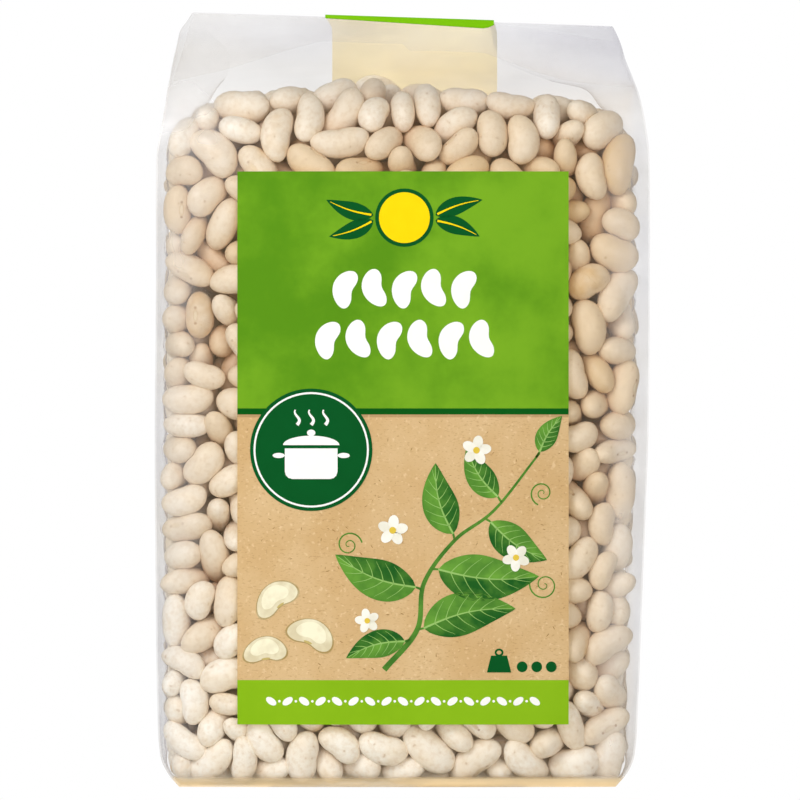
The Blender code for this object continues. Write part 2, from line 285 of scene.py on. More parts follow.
def panel_normal(facing, x, z):
    """The unit normals there, which point out of the bag."""
    step = 0.0004
    along = panel_film(facing, x + step, z) - panel_film(facing, x - step, z)
    up = panel_film(facing, x, z + step) - panel_film(facing, x, z - step)
    normal = np.cross(along, up)
    normal /= np.linalg.norm(normal, axis=-1, keepdims=True)
    return normal * np.sign(normal[..., 1:2] * facing)


def slanted(points):
    """The top fold isn't quite level: it drops towards the right."""
    points = np.array(points, float)
    ramp = smooth_step(SLANT_FROM, BAG_HEIGHT, points[..., 2])
    points[..., 2] -= TOP_SLANT * (points[..., 0] + SLANT_EDGE) * ramp
    return points


def flap_cover(x, z):
    """What the folded-over end adds to the back, as in the part's source."""
    run_out, crease_depth = 0.0015, 0.0025
    thinned = 1 - 0.8 * smooth_step(BAG_HEIGHT - crease_depth, BAG_HEIGHT, z)
    cover = FLAP_THICKNESS * thinned * smooth_step(FLAP_END - run_out, FLAP_END, z)
    return np.where(np.abs(x) > FLAP_HALF_WIDTH, 0.0, cover)


# Meshes, pieces and node trees


def mesh_from(name, points, faces, smooth=True):
    mesh = bpy.data.meshes.new(name)
    mesh.from_pydata([tuple(p) for p in points], [], faces)
    mesh.validate()
    if smooth:
        mesh.shade_smooth()
    return mesh


def object_from(name, mesh, *finishes):
    made = bpy.data.objects.new(name, mesh)
    bpy.context.scene.collection.objects.link(made)
    for finish in finishes:
        mesh.materials.append(finish)
    return made


def turned_outwards(mesh):
    work = bmesh.new()
    work.from_mesh(mesh)
    bmesh.ops.recalc_face_normals(work, faces=work.faces)
    work.to_mesh(mesh)
    work.free()


def add_attribute(mesh, name, kind, values):
    attribute = mesh.attributes.new(name, kind, "POINT")
    field = "vector" if kind == "FLOAT_VECTOR" else "value"
    attribute.data.foreach_set(field, np.asarray(values).reshape(-1))


def feed(tree, socket, value):
    """Links a socket to another one, or sets its value."""
    if isinstance(value, bpy.types.NodeSocket):
        tree.links.new(value, socket)
    else:
        socket.default_value = value


def node(tree, kind, settings=None, **inputs):
    """A new node of a tree. inputs gives values or output sockets by the sockets' names, with _
    for a space; settings holds the node's own properties."""
    made = tree.nodes.new(kind)
    for key, value in (settings or {}).items():
        setattr(made, key, value)
    for key, value in inputs.items():
        label = key.replace("_", " ")
        feed(tree, next(s for s in made.inputs if s.name == label and s.enabled), value)
    return made


def math_node(tree, operation, *values):
    made = node(tree, "ShaderNodeMath", {"operation": operation})
    for socket, value in zip(made.inputs, values):
        feed(tree, socket, value)
    return made.outputs[0]


def vector_node(tree, operation, *values):
    made = node(tree, "ShaderNodeVectorMath", {"operation": operation})
    sockets = [made.inputs[0], made.inputs["Scale"]] if operation == "SCALE" else made.inputs
    for socket, value in zip(sockets, values):
        feed(tree, socket, value)
    return made.outputs[0]


def named_tree(kind, name, inputs, outputs):
    """A node group. inputs holds each input's name, socket type and value, and outputs each
    output's name and socket type."""
    tree = bpy.data.node_groups.new(name, kind)
    for label, socket_type, value in inputs:
        socket = tree.interface.new_socket(label, in_out="INPUT", socket_type=socket_type)
        if value is not None:
            socket.default_value = value
    for label, socket_type in outputs:
        tree.interface.new_socket(label, in_out="OUTPUT", socket_type=socket_type)
    return tree, tree.nodes.new("NodeGroupInput"), tree.nodes.new("NodeGroupOutput")


def shape_tree(name, inputs):
    """A geometry node group that takes and gives a mesh."""
    geometry = ("Geometry", "NodeSocketGeometry")
    return named_tree("GeometryNodeTree", name, ((*geometry, None), *inputs), (geometry,))


def give_material(tree, result, geometry, material):
    """Ends a shape's tree: its geometry comes out in a material."""
    finished = node(tree, "GeometryNodeSetMaterial", Geometry=geometry, Material=material)
    tree.links.new(finished.outputs[0], result.inputs[0])
    return tree


def shaped(carrier, tree, name, **values):
    """The plain mesh object that a tree makes of a carrier. The carrier is removed."""
    modifier = carrier.modifiers.new(tree.name, "NODES")
    modifier.node_group = tree
    sockets = {s.name: s.identifier for s in tree.interface.items_tree if s.in_out == "INPUT"}
    for label, value in values.items():
        modifier[sockets[label.replace("_", " ")]] = value
    graph = bpy.context.evaluated_depsgraph_get()
    graph.update()
    mesh = bpy.data.meshes.new_from_object(carrier.evaluated_get(graph))
    carrier.modifiers.remove(modifier)
    old = carrier.data
    bpy.data.objects.remove(carrier, do_unlink=True)
    bpy.data.meshes.remove(old)
    mesh.name = name
    made = bpy.data.objects.new(name, mesh)
    bpy.context.scene.collection.objects.link(made)
    return made


def keep(piece, slot, *replaced):
    """Fits a finished piece to the frame."""
    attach(piece, "root")
    if replaced:
        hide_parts(*replaced)


# Colours, as the photograph shows them


def linear(red, green, blue):
    """A colour from its 0 to 255 values on screen."""
    parts = []
    for value in (red, green, blue):
        share = value / 255
        parts.append(share / 12.92 if share <= 0.04045 else ((share + 0.055) / 1.055) ** 2.4)
    return (*parts, 1.0)


def shader_material(name, **values):
    """A material with one shader. values gives the shader's inputs, with _ for a space."""
    made = bpy.data.materials.new(name)
    made.use_nodes = True
    tree = made.node_tree
    shader = tree.nodes["Principled BSDF"]
    for key, value in values.items():
        shader.inputs[key.replace("_", " ")].default_value = value
    return made, tree, shader


def mixed(tree, factor, low, high):
    """A colour between two."""
    made = node(tree, "ShaderNodeMix", {"data_type": "RGBA"})
    sockets = [s for s in made.inputs if s.enabled and s.type in ("VALUE", "RGBA")]
    for socket, value in zip(sockets, (factor, low, high)):
        feed(tree, socket, value)
    return next(s for s in made.outputs if s.enabled)


def spread(tree, value, low, high, new_low=0.0, new_high=1.0):
    """A value mapped from one range to another, held inside it."""
    made = node(
        tree,
        "ShaderNodeMapRange",
        {"interpolation_type": "SMOOTHSTEP"},
        Value=value,
        From_Min=low,
        From_Max=high,
        To_Min=new_low,
        To_Max=new_high,
    )
    return made.outputs[0]


def noise(tree, place, scale, detail, roughness=0.5):
    made = node(
        tree, "ShaderNodeTexNoise", Vector=place, Scale=scale, Detail=detail, Roughness=roughness
    )
    return made.outputs["Fac"]


def mark_of(tree, name):
    """A value that the mesh carries at its points."""
    return node(tree, "ShaderNodeAttribute", {"attribute_name": name}).outputs["Fac"]


def object_place(tree):
    return node(tree, "ShaderNodeTexCoord").outputs["Object"]


def bumped(tree, shader, height, strength, distance):
    bump = node(tree, "ShaderNodeBump", Strength=strength, Distance=distance, Height=height)
    tree.links.new(bump.outputs[0], shader.inputs["Normal"])


def bean_skin():
    """Ivory skin with a fine mottle, warmer and paler beans, a few yellow-brown stains, and the
    seed scar as a pale oval with a brown rim and a dark speck at each end, on the hollow side and
    clearer on some beans. How pale a bean is comes from its tone, which holds painted light as well
    as its own shade. The skin is painted browner the deeper it lies between the beans, as painted
    shade in the gaps."""
    made, tree, shader = shader_material("bean_skin", Roughness=0.46, Specular_IOR_Level=0.4)
    place = node(tree, "ShaderNodeAttribute", {"attribute_name": "own_place"}).outputs["Vector"]
    tone, stain, scar_share, deep = (mark_of(tree, name) for name in ("tone", "stain", "scar", "deep"))
    offset = vector_node(tree, "SCALE", (7.1, 3.3, 5.7), tone)
    here = vector_node(tree, "ADD", place, offset)

    mottle = noise(tree, here, 900.0, 5.0, 0.6)
    cloud = noise(tree, here, 150.0, 2.0)
    # The tone gives each bean its own random shade, and also the painted light that makes it paler or
    # darker by where it lies.
    body = mixed(tree, tone, linear(214, 182, 132), linear(255, 250, 240))
    body = mixed(tree, spread(tree, cloud, 0.42, 0.68, 0.0, 0.30), body, linear(238, 214, 176))
    body = mixed(tree, spread(tree, mottle, 0.42, 0.66, 0.0, 0.30), body, linear(216, 190, 154))

    speck = noise(tree, here, 900.0, 1.0)
    body = mixed(tree, spread(tree, speck, 0.72, 0.78, 0.0, 0.35), body, linear(176, 134, 84))
    blot = spread(tree, math_node(tree, "ADD", cloud, stain), 1.18, 1.50, 0.0, 0.6)
    body = mixed(tree, blot, body, linear(204, 160, 92))

    parts = node(tree, "ShaderNodeSeparateXYZ", Vector=place)
    along = math_node(tree, "DIVIDE", parts.outputs["X"], SCAR_LENGTH / 2)
    across = math_node(tree, "DIVIDE", parts.outputs["Z"], SCAR_WIDTH / 2)
    across = math_node(tree, "MULTIPLY", across, across)
    ring = math_node(tree, "ADD", math_node(tree, "MULTIPLY", along, along), across)
    ends = math_node(tree, "SUBTRACT", math_node(tree, "ABSOLUTE", along), 1.5)
    ends = math_node(tree, "MULTIPLY", math_node(tree, "MULTIPLY", ends, ends), 9.0)
    ends = math_node(tree, "ADD", ends, across)
    hollow_side = spread(tree, parts.outputs["Y"], 0.0, -0.0010)
    clear = math_node(tree, "MULTIPLY", hollow_side, spread(tree, scar_share, 0.2, 0.8, 0.15, 1.0))
    scar = math_node(tree, "MULTIPLY", spread(tree, ring, 1.0, 0.6), clear)
    rim = math_node(tree, "MULTIPLY", spread(tree, ring, 2.8, 1.1), clear)
    dots = math_node(tree, "MULTIPLY", spread(tree, ends, 0.9, 0.3), clear)
    body = mixed(tree, math_node(tree, "MULTIPLY", rim, 0.35), body, linear(204, 166, 112))
    body = mixed(tree, math_node(tree, "MULTIPLY", scar, 0.7), body, linear(236, 220, 188))
    body = mixed(tree, math_node(tree, "MULTIPLY", dots, 0.6), body, linear(158, 112, 66))
    # Painted shade: the skin turns orange-brown the further it lies from the film, towards the gaps
    # between the beans, and less so on the paler beans.
    hollow = spread(tree, deep, 0.0012, 0.0085, 0.0, 0.72)
    hollow = math_node(tree, "MULTIPLY", hollow, spread(tree, tone, 0.2, 0.95, 1.0, 0.55))
    body = mixed(tree, hollow, body, linear(192, 124, 56))
    tree.links.new(body, shader.inputs["Base Color"])

    stretched = vector_node(tree, "MULTIPLY", here, (0.4, 1.0, 1.0))
    fine = noise(tree, stretched, 620.0, 4.0)
    crossways = vector_node(tree, "MULTIPLY", here, (1.6, 0.8, 0.8))
    crease = noise(tree, crossways, 260.0, 3.0)
    crease = math_node(tree, "ABSOLUTE", math_node(tree, "SUBTRACT", crease, 0.5))
    creased = spread(tree, stain, 0.35, 0.7, 0.4, 4.5)
    height = math_node(tree, "ADD", fine, math_node(tree, "MULTIPLY", crease, creased))
    height = math_node(tree, "SUBTRACT", height, math_node(tree, "MULTIPLY", scar, 0.8))
    bumped(tree, shader, height, 0.6, 0.00018)
    return made


def film_surface():
    """Thin clear film for any film material. Veil says how much light it stops. It is cloudier in
    soft patches that drift between two dull tints, warm over the beans, and tan at the foot, and
    it is cloudier and paler with a painted sheen and glare where it is marked for them. Where
    nothing lies behind it, it is given a painted glow for the light that comes through it: Glow
    Left and Glow Right say how much."""
    tree, given, result = named_tree(
        "ShaderNodeTree",
        "film surface",
        (
            ("Place", "NodeSocketVector", None),
            ("Facing", "NodeSocketFloat", 0.0),
            ("Veil", "NodeSocketFloat", 0.0),
            ("Bloom", "NodeSocketFloat", 0.0),
            ("Foot", "NodeSocketFloat", 0.0),
            ("Cool Tint", "NodeSocketColor", None),
            ("Warm Tint", "NodeSocketColor", None),
            ("Glow Left", "NodeSocketFloat", 0.0),
            ("Glow Right", "NodeSocketFloat", 0.0),
        ),
        (
            ("Cover", "NodeSocketFloat"),
            ("Tint", "NodeSocketColor"),
            ("Glow", "NodeSocketColor"),
            ("Ripples", "NodeSocketFloat"),
        ),
    )
    here, bloom = given.outputs["Place"], given.outputs["Bloom"]
    slanting = vector_node(tree, "MULTIPLY", here, (0.35, 1.0, 1.6))

    patches = spread(tree, noise(tree, here, 34.0, 3.0), 0.35, 0.68, 0.8, 1.3)
    folds = spread(tree, noise(tree, slanting, 60.0, 2.0), 0.38, 0.62, 0.82, 1.22)
    cloudy = math_node(tree, "MULTIPLY", patches, folds)
    haze = math_node(tree, "MULTIPLY", cloudy, given.outputs["Veil"])
    # Painted sheen and glare: where the film is marked for them it is made more cloudy, broken up in
    # patches.
    broken = spread(tree, noise(tree, here, 75.0, 2.0), 0.38, 0.62, 0.25, 1.0)
    pale = math_node(tree, "MULTIPLY", math_node(tree, "MULTIPLY", bloom, broken), 0.34)
    along = math_node(tree, "MULTIPLY", math_node(tree, "POWER", given.outputs["Facing"], 2.2), 0.5)
    cover = math_node(tree, "ADD", haze, math_node(tree, "ADD", pale, along))
    tree.links.new(math_node(tree, "MINIMUM", cover, 1.0), result.inputs["Cover"])

    parts = node(tree, "ShaderNodeSeparateXYZ", Vector=here)
    drift = spread(tree, noise(tree, slanting, 24.0, 2.0), 0.40, 0.60)
    dull = mixed(tree, drift, given.outputs["Cool Tint"], given.outputs["Warm Tint"])
    beside = spread(tree, math_node(tree, "ABSOLUTE", parts.outputs["X"]), 0.0465, 0.0500)
    above = spread(tree, parts.outputs["Z"], 0.142, 0.151)
    dull = mixed(tree, math_node(tree, "MAXIMUM", beside, above), linear(208, 180, 138), dull)
    # Painted sheen and glare: there the tint turns nearly white.
    share = math_node(tree, "MINIMUM", math_node(tree, "MULTIPLY", bloom, 1.6), 1.0)
    tint = mixed(tree, share, dull, linear(242, 239, 239))
    tint = mixed(tree, given.outputs["Foot"], tint, linear(255, 230, 184))
    tree.links.new(tint, result.inputs["Tint"])

    # Painted glow: emission in the film's own tint where nothing lies behind it, beside the beans and
    # above them, stronger towards the right, for the light that comes through the film.
    side = spread(
        tree, parts.outputs["X"], -0.010, 0.030, given.outputs["Glow Left"], given.outputs["Glow Right"]
    )
    bare = math_node(tree, "MAXIMUM", math_node(tree, "MULTIPLY", beside, 0.4), above)
    glow = vector_node(tree, "SCALE", tint, math_node(tree, "MULTIPLY", bare, side))
    tree.links.new(glow, result.inputs["Glow"])
    tree.links.new(noise(tree, here, 140.0, 3.0), result.inputs["Ripples"])
    return tree


def clear_film(name, surface, cool, warm, glow_left, glow_right, veil=None):
    """A film with the surface above. It takes its veil from its own attribute unless one is given."""
    made, tree, shader = shader_material(name, Emission_Strength=1.0, Roughness=0.3, IOR=1.8)
    marks = {mark: mark_of(tree, mark.lower()) for mark in ("Veil", "Bloom", "Foot")}
    if veil is not None:
        marks["Veil"] = veil
    film = node(
        tree,
        "ShaderNodeGroup",
        {"node_tree": surface},
        Place=object_place(tree),
        Facing=node(tree, "ShaderNodeLayerWeight", Blend=0.3).outputs["Facing"],
        Cool_Tint=cool,
        Warm_Tint=warm,
        Glow_Left=glow_left,
        Glow_Right=glow_right,
        **marks,
    )
    tree.links.new(film.outputs["Cover"], shader.inputs["Alpha"])
    tree.links.new(film.outputs["Tint"], shader.inputs["Base Color"])
    tree.links.new(film.outputs["Glow"], shader.inputs["Emission Color"])
    bumped(tree, shader, film.outputs["Ripples"], 0.25, 0.0004)
    return made


def paper_surface():
    """Paper for any paper material. Its colour drifts in soft patches between two, more to the
    second one on the right where Drift is more than 0, with a fine grain and, where Fibre is more
    than 0, darker and paler fibres like kraft paper's."""
    tree, given, result = named_tree(
        "ShaderNodeTree",
        "paper surface",
        (
            ("Place", "NodeSocketVector", None),
            ("Low", "NodeSocketColor", None),
            ("High", "NodeSocketColor", None),
            ("Patch Scale", "NodeSocketFloat", 30.0),
            ("Grain Scale", "NodeSocketFloat", 900.0),
            ("Fibre", "NodeSocketFloat", 0.0),
            ("Drift", "NodeSocketFloat", 0.0),
        ),
        (("Colour", "NodeSocketColor"), ("Grain", "NodeSocketFloat")),
    )
    here, fibre = given.outputs["Place"], given.outputs["Fibre"]
    patches = noise(tree, here, given.outputs["Patch Scale"], 5.0, 0.6)
    across = node(tree, "ShaderNodeSeparateXYZ", Vector=here).outputs["X"]
    across = math_node(tree, "MULTIPLY", across, given.outputs["Drift"])
    share = spread(tree, math_node(tree, "ADD", patches, across), 0.33, 0.68)
    colour = mixed(tree, share, given.outputs["Low"], given.outputs["High"])
    grain = noise(tree, here, given.outputs["Grain Scale"], 3.0)
    upright = vector_node(tree, "MULTIPLY", here, (1.0, 1.0, 2.6))
    streaks = noise(tree, upright, 1400.0, 2.0)
    colour = mixed(tree, spread(tree, streaks, 0.56, 0.70, 0.0, fibre), colour, linear(176, 132, 82))
    colour = mixed(tree, spread(tree, grain, 0.58, 0.72, 0.0, fibre), colour, linear(240, 214, 170))
    tree.links.new(colour, result.inputs["Colour"])
    tree.links.new(grain, result.inputs["Grain"])
    return tree


def paper(name, surface, low, high, **values):
    """Printed paper with the surface above."""
    made, tree, shader = shader_material(name, **PRINT_GLOSS)
    look = {"Place": object_place(tree), "Low": low, "High": high, **values}
    sheet = node(tree, "ShaderNodeGroup", {"node_tree": surface}, **look)
    tree.links.new(sheet.outputs["Colour"], shader.inputs["Base Color"])
    bumped(tree, shader, sheet.outputs["Grain"], 0.15, 0.00004)
    return made


def glow_through(made, low, high, from_z, to_z):
    """Thin paper given a painted glow for the light behind it, more of it higher up."""
    tree = made.node_tree
    shader = tree.nodes["Principled BSDF"]
    colour = shader.inputs["Base Color"].links[0].from_socket
    z = node(tree, "ShaderNodeSeparateXYZ", Vector=object_place(tree)).outputs["Z"]
    glow = vector_node(tree, "SCALE", colour, spread(tree, z, from_z, to_z, low, high))
    tree.links.new(glow, shader.inputs["Emission Color"])
    shader.inputs["Emission Strength"].default_value = 1.0


# The beans


def near_pairs(points, reach):
    """Every pair of points nearer to each other than reach, found by a grid of cells."""
    cells = np.floor((points - points.min(0)) / reach).astype(np.int64) + 1
    counts = cells.max(0) + 2
    key = (cells[:, 0] * counts[1] + cells[:, 1]) * counts[2] + cells[:, 2]
    order = np.argsort(key, kind="stable")
    key = key[order]
    index = np.arange(len(points))
    around = range(-1, 2)
    steps = [(i, j, k) for i in around for j in around for k in around if (i, j, k) >= (0, 0, 0)]
    first, second = [], []
    for step in steps:
        wanted = key + (step[0] * counts[1] + step[1]) * counts[2] + step[2]
        low = np.searchsorted(key, wanted, "left")
        high = np.searchsorted(key, wanted, "right")
        if step == (0, 0, 0):
            low = np.maximum(low, index + 1)
        found = np.maximum(high - low, 0)
        runs = np.arange(found.sum()) - np.repeat(np.cumsum(found) - found, found)
        first.append(order[np.repeat(index, found)])
        second.append(order[np.repeat(low, found) + runs])
    first, second = np.concatenate(first), np.concatenate(second)
    near = ((points[first] - points[second]) ** 2).sum(1) < reach**2
    return first[near], second[near]


def turned(turns, spin):
    """Unit quaternions turned further by small rotation vectors."""
    angle = np.linalg.norm(spin, axis=1)
    share = np.where(angle > 1e-9, np.sin(angle / 2) / np.maximum(angle, 1e-9), 0.5)
    w1, (x1, y1, z1) = np.cos(angle / 2), (spin * share[:, None]).T
    w2, x2, y2, z2 = turns.T
    out = np.stack(
        (
            w1 * w2 - x1 * x2 - y1 * y2 - z1 * z2,
            w1 * x2 + x1 * w2 + y1 * z2 - z1 * y2,
            w1 * y2 - x1 * z2 + y1 * w2 + z1 * x2,
            w1 * z2 + x1 * y2 - y1 * x2 + z1 * w2,
        ),
        1,
    )
    return out / np.linalg.norm(out, axis=1)[:, None]


def turn_matrices(turns):
    w, x, y, z = turns.T
    rows = (
        (1 - 2 * (y * y + z * z), 2 * (x * y - w * z), 2 * (x * z + w * y)),
        (2 * (x * y + w * z), 1 - 2 * (x * x + z * z), 2 * (y * z - w * x)),
        (2 * (x * z - w * y), 2 * (y * z + w * x), 1 - 2 * (x * x + y * y)),
    )
    return np.stack([np.stack(row, -1) for row in rows], -2)


def turns_from(matrices):
    """Unit quaternions of rotation matrices, by way of Blender's own maths."""
    return np.array([Matrix(m.tolist()).to_quaternion()[:] for m in matrices])


# The cuts at close steps, so that looking one up in the pour is quick. The right gusset's tuck
# is added as a column of its own, then how fast the front and the back lean in as they rise.
FINE_LEVELS = np.linspace(0.0, BAG_HEIGHT, 661)
FINE_CUTS = cuts_at(FINE_LEVELS)
FINE_TUCK = np.maximum(FINE_CUTS[:, 3], np.interp(FINE_LEVELS, *np.array(TUCK).T, left=0.0))
FINE_SLOPES = [
    np.gradient(FINE_CUTS[:, 4] + facing * (FINE_CUTS[:, 1] + FINE_CUTS[:, 2]), FINE_LEVELS)
    for facing in (-1, 1)
]
FINE_TABLE = np.column_stack((FINE_CUTS, FINE_TUCK, *FINE_SLOPES))


def film_round(places):
    """The film round each place: half width, corner, bulge, lean, how deep the nearer side is
    pinched, and the slopes of the front and back."""
    z = np.clip(places[:, 2], 0.0, BAG_HEIGHT)
    z = z + TOP_SLANT * (places[:, 0] + SLANT_EDGE) * smooth_step(SLANT_FROM, BAG_HEIGHT, z)
    columns = [np.interp(z, FINE_LEVELS, column) for column in FINE_TABLE.T]
    half_width, corner, bulge, pinch, lean, tuck, front_slope, back_slope = columns
    x = places[:, 0] - middle_at(z)
    left = x < 0
    pinched = np.where(
        left,
        np.maximum(pinch * pinch_left(LEFT_PINCH, z), LEFT_FIN),
        np.maximum(tuck * pinch_left(RIGHT_PINCH, z), RIGHT_FIN),
    )
    fin = np.where(left, LEFT_FIN, RIGHT_FIN)
    return x, places[:, 1] - lean, half_width, corner, bulge, fin, pinched, (front_slope, back_slope)


def side_reach(y, half_width, corner, fin, pinched):
    """How far out the beans may lie at each depth beside the pinched sides."""
    return half_width - fin - (pinched - fin) * (1 - np.minimum(1, np.abs(y) / corner) ** SIDE_FULLNESS)


def heap_top(x):
    return table_at(HEAP, x)


def wall_push(points, radii):
    """What brings each ball of each bean back inside the film."""
    x, y, half_width, corner, bulge, fin, pinched, slopes = film_round(points)
    depth = panel_depth(x, half_width, corner, bulge)
    side = side_reach(y, half_width, corner, fin, pinched)
    slope = np.where(y < 0, slopes[0], slopes[1])
    reach = (radii + FILM_ROOM) * np.sqrt(1 + slope**2)
    move = np.zeros_like(points)
    move[:, 1] = -np.sign(y) * np.maximum(0, np.abs(y) + reach - depth)
    move[:, 0] = -np.sign(x) * np.maximum(0, np.abs(x) + radii - side)
    move[:, 2] = np.maximum(0, 2 * FILM_ROOM + radii - points[:, 2])
    move[:, 2] -= np.maximum(0, points[:, 2] + radii - heap_top(points[:, 0]))
    return move


# A bean as six balls: where each lies along and across the bean, and its radius
BALLS = np.array(
    [
        (side * along, across, 0.0, radius)
        for side in (-1, 1)
        for along, across, radius in (
            (0.00288, -0.00027, 0.00250),
            (0.00152, 0.00040, 0.00278),
            (0.00132, -0.00036, 0.00278),
        )
    ]
)


def starting_turns(rng, places):
    """Beans lie along the nearest film and keep their flat side to it, more or less."""
    long_way = rng.normal(size=places.shape)
    flat_way = rng.normal(size=places.shape) * 0.6
    wall = np.zeros_like(places)
    half_width, depth = 0.049, 0.0235
    to_side = half_width - np.abs(places[:, 0])
    to_panel = depth - np.abs(places[:, 1])
    by_side = to_side < to_panel
    wall[by_side, 0] = 1.0
    wall[~by_side, 1] = 1.0
    nearness = np.clip(1.25 - np.minimum(to_side, to_panel) / 0.010, 0.0, 1.0)[:, None]
    along_wall = (long_way * wall).sum(1)[:, None] * wall
    long_way = long_way - along_wall * 0.85 * nearness
    long_way /= np.linalg.norm(long_way, axis=1)[:, None]
    flat_way = flat_way + wall * 1.3 * nearness
    flat_way -= (flat_way * long_way).sum(1)[:, None] * long_way
    flat_way /= np.linalg.norm(flat_way, axis=1)[:, None]
    across = np.cross(flat_way, long_way)
    return turns_from(np.stack((long_way, across, flat_way), -1))


def poured_beans(kinds):
    """Where each bean lies, how it is turned, and its size. Small beans start spread through the
    bag, grow to their real size, push each other and the film apart, and settle."""
    rng = np.random.default_rng(POUR_SEED)
    sizes = np.clip(rng.normal(1.0, BEAN_SIZE_SPREAD, BEAN_COUNT), 0.80, 1.18)
    columns, rows = START_COLUMNS, START_ROWS
    index = np.arange(BEAN_COUNT)
    layers = math.ceil(BEAN_COUNT / (columns * rows))
    places = np.stack(
        (
            ((index % columns + 0.5) / columns - 0.5) * START_WIDTH,
            ((index // columns % rows + 0.5) / rows - 0.5) * START_DEPTH,
            START_BASE + (index // (columns * rows) + 0.5) * START_TOP / layers,
        ),
        1,
    )
    places += rng.uniform(-START_SCATTER, START_SCATTER, places.shape)
    turns = starting_turns(rng, places)
    arms = sizes[:, None, None] * BALLS[None, :, :3]
    radii = (sizes[:, None] * BALLS[None, :, 3]).reshape(-1)
    owner = np.repeat(index, len(BALLS))
    inertia = (arms**2).sum((1, 2)) + len(BALLS) * 0.4 * radii.mean() ** 2
    steps = POUR_STEPS
    grown, settled = 0.55 * steps, 0.85 * steps
    for step in range(steps):
        size = min(1.0, 0.6 + 0.4 * step / grown)
        if step < settled:
            outer_y = smooth_step(0.006, 0.012, np.abs(places[:, 1]))
            outer_x = smooth_step(0.036, 0.044, np.abs(places[:, 0]))
            places[:, 2] -= SINK_STEP
            places[:, 1] += np.sign(places[:, 1]) * OUTWARD_STEP * outer_y
            places[:, 0] += np.sign(places[:, 0]) * OUTWARD_STEP * outer_x
        arm = np.einsum("nij,nkj->nki", turn_matrices(turns), arms * size)
        balls = (places[:, None] + arm).reshape(-1, 3)
        if step % 6 == 0:
            first, second = near_pairs(balls, 2 * radii.max() * size + 0.0008)
            apart = owner[first] != owner[second]
            first, second = first[apart], second[apart]
        gap = balls[first] - balls[second]
        distance = np.sqrt((gap * gap).sum(1))
        overlap = (radii[first] + radii[second]) * size - distance
        hit = overlap > 0
        a, b = first[hit], second[hit]
        push = gap[hit] * (0.5 * overlap[hit] / np.maximum(distance[hit], 1e-9))[:, None]
        move = wall_push(balls, radii * size)
        for axis in range(3):
            move[:, axis] += np.bincount(a, push[:, axis], len(balls))
            move[:, axis] -= np.bincount(b, push[:, axis], len(balls))
        move = move.reshape(BEAN_COUNT, len(BALLS), 3)
        touching = np.maximum(1, (np.abs(move).sum(-1) > 1e-9).sum(1))[:, None]
        shift = move.sum(1) * 1.25 / touching
        spin = np.cross(arm, move).sum(1) * 0.8 / (inertia * size**2)[:, None]
        places += np.clip(shift, -0.0012, 0.0012)
        turns = turned(turns, np.clip(spin, -0.15, 0.15))
    return held_in(places, turns, sizes, kinds), turns, sizes


def held_in(places, turns, sizes, kinds):
    """The beans brought fully inside the film: each is tried at points all over its real form, and
    is moved by the one that stands out furthest."""
    form = np.array(BEAN_KINDS)[kinds]
    half = form[:, :3] * np.array((BEAN_LENGTH, BEAN_WIDTH, BEAN_THICKNESS)) / 2
    half = (half * 1.02 + np.array((0.0, 1.0, 0.0)) * form[:, 3:4] * 0.35) * sizes[:, None]
    ends = (-1, 0, 1)
    around = [(i, j, k) for i in ends for j in ends for k in ends if (i, j, k) != (0, 0, 0)]
    ways = np.array(around, float)
    ways /= np.linalg.norm(ways, axis=1)[:, None]
    skin = np.einsum("nij,nkj->nki", turn_matrices(turns), half[:, None, :] * ways)
    each = np.arange(len(places))
    places = places.copy()
    for _ in range(12):
        points = (places[:, None] + skin).reshape(-1, 3)
        x, y, half_width, corner, bulge, fin, pinched, slopes = film_round(points)
        depth = panel_depth(x, half_width, corner, bulge)
        slope = np.where(y < 0, slopes[0], slopes[1])
        over = (np.abs(y) + FILM_ROOM - depth).reshape(-1, len(ways))
        worst = over.argmax(1)
        over = np.maximum(0, over[each, worst])
        facing = np.sign(y).reshape(over.shape[0], -1)[each, worst]
        slope = slope.reshape(over.shape[0], -1)[each, worst]
        steep = over / (1 + slope**2)
        places[:, 1] -= facing * steep
        places[:, 2] -= np.abs(slope) * steep
        side = side_reach(y, half_width, corner, fin, pinched)
        over = (np.abs(x) + FILM_ROOM - side).reshape(-1, len(ways)).max(1)
        places[:, 0] -= np.sign(places[:, 0]) * np.maximum(0, over)
        low = points[:, 2].reshape(-1, len(ways)).min(1)
        places[:, 2] += np.maximum(0, 2 * FILM_ROOM - low)
    return places


def bean_shape(name, length, width, thickness, bend, fat_end, rings=13, sides=16):
    """One bean at true size: a plump oval, bent like a kidney, with a shallow notch at the scar
    on its hollow side (-Y)."""
    points, places = [], []

    def add(along, angle):
        round_part = (1 - abs(along) ** 2.5) ** 0.5
        round_part *= 1 + fat_end * along
        round_part *= 1 + 0.022 * math.sin(2 * angle + 40 * fat_end) * math.sin(2.6 * along + 90 * bend)
        y = math.cos(angle) * round_part * width / 2
        z = math.sin(angle) * round_part * thickness / 2
        notch = 0.00028 * math.exp(-((along / 0.22) ** 2)) * max(0.0, -math.cos(angle)) ** 3
        y += notch + bend * (0.33 - along**2)
        points.append((along * length / 2, y, z))

    add(-1.0, 0.0)
    for ring in range(1, rings):
        for side in range(sides):
            add(-math.cos(math.pi * ring / rings), 2 * math.pi * (side + 0.5) / sides)
    add(1.0, 0.0)
    last = len(points) - 1
    faces = []
    for side in range(sides):
        after = (side + 1) % sides
        faces.append((0, 1 + after, 1 + side))
        faces.append((last, last - sides + side, last - sides + after))
        for ring in range(rings - 2):
            base = 1 + ring * sides
            faces.append((base + side, base + after, base + sides + after, base + sides + side))
    mesh = mesh_from(name, points, faces)
    turned_outwards(mesh)
    add_attribute(mesh, "own_place", "FLOAT_VECTOR", points)
    return bpy.data.objects.new(name, mesh)


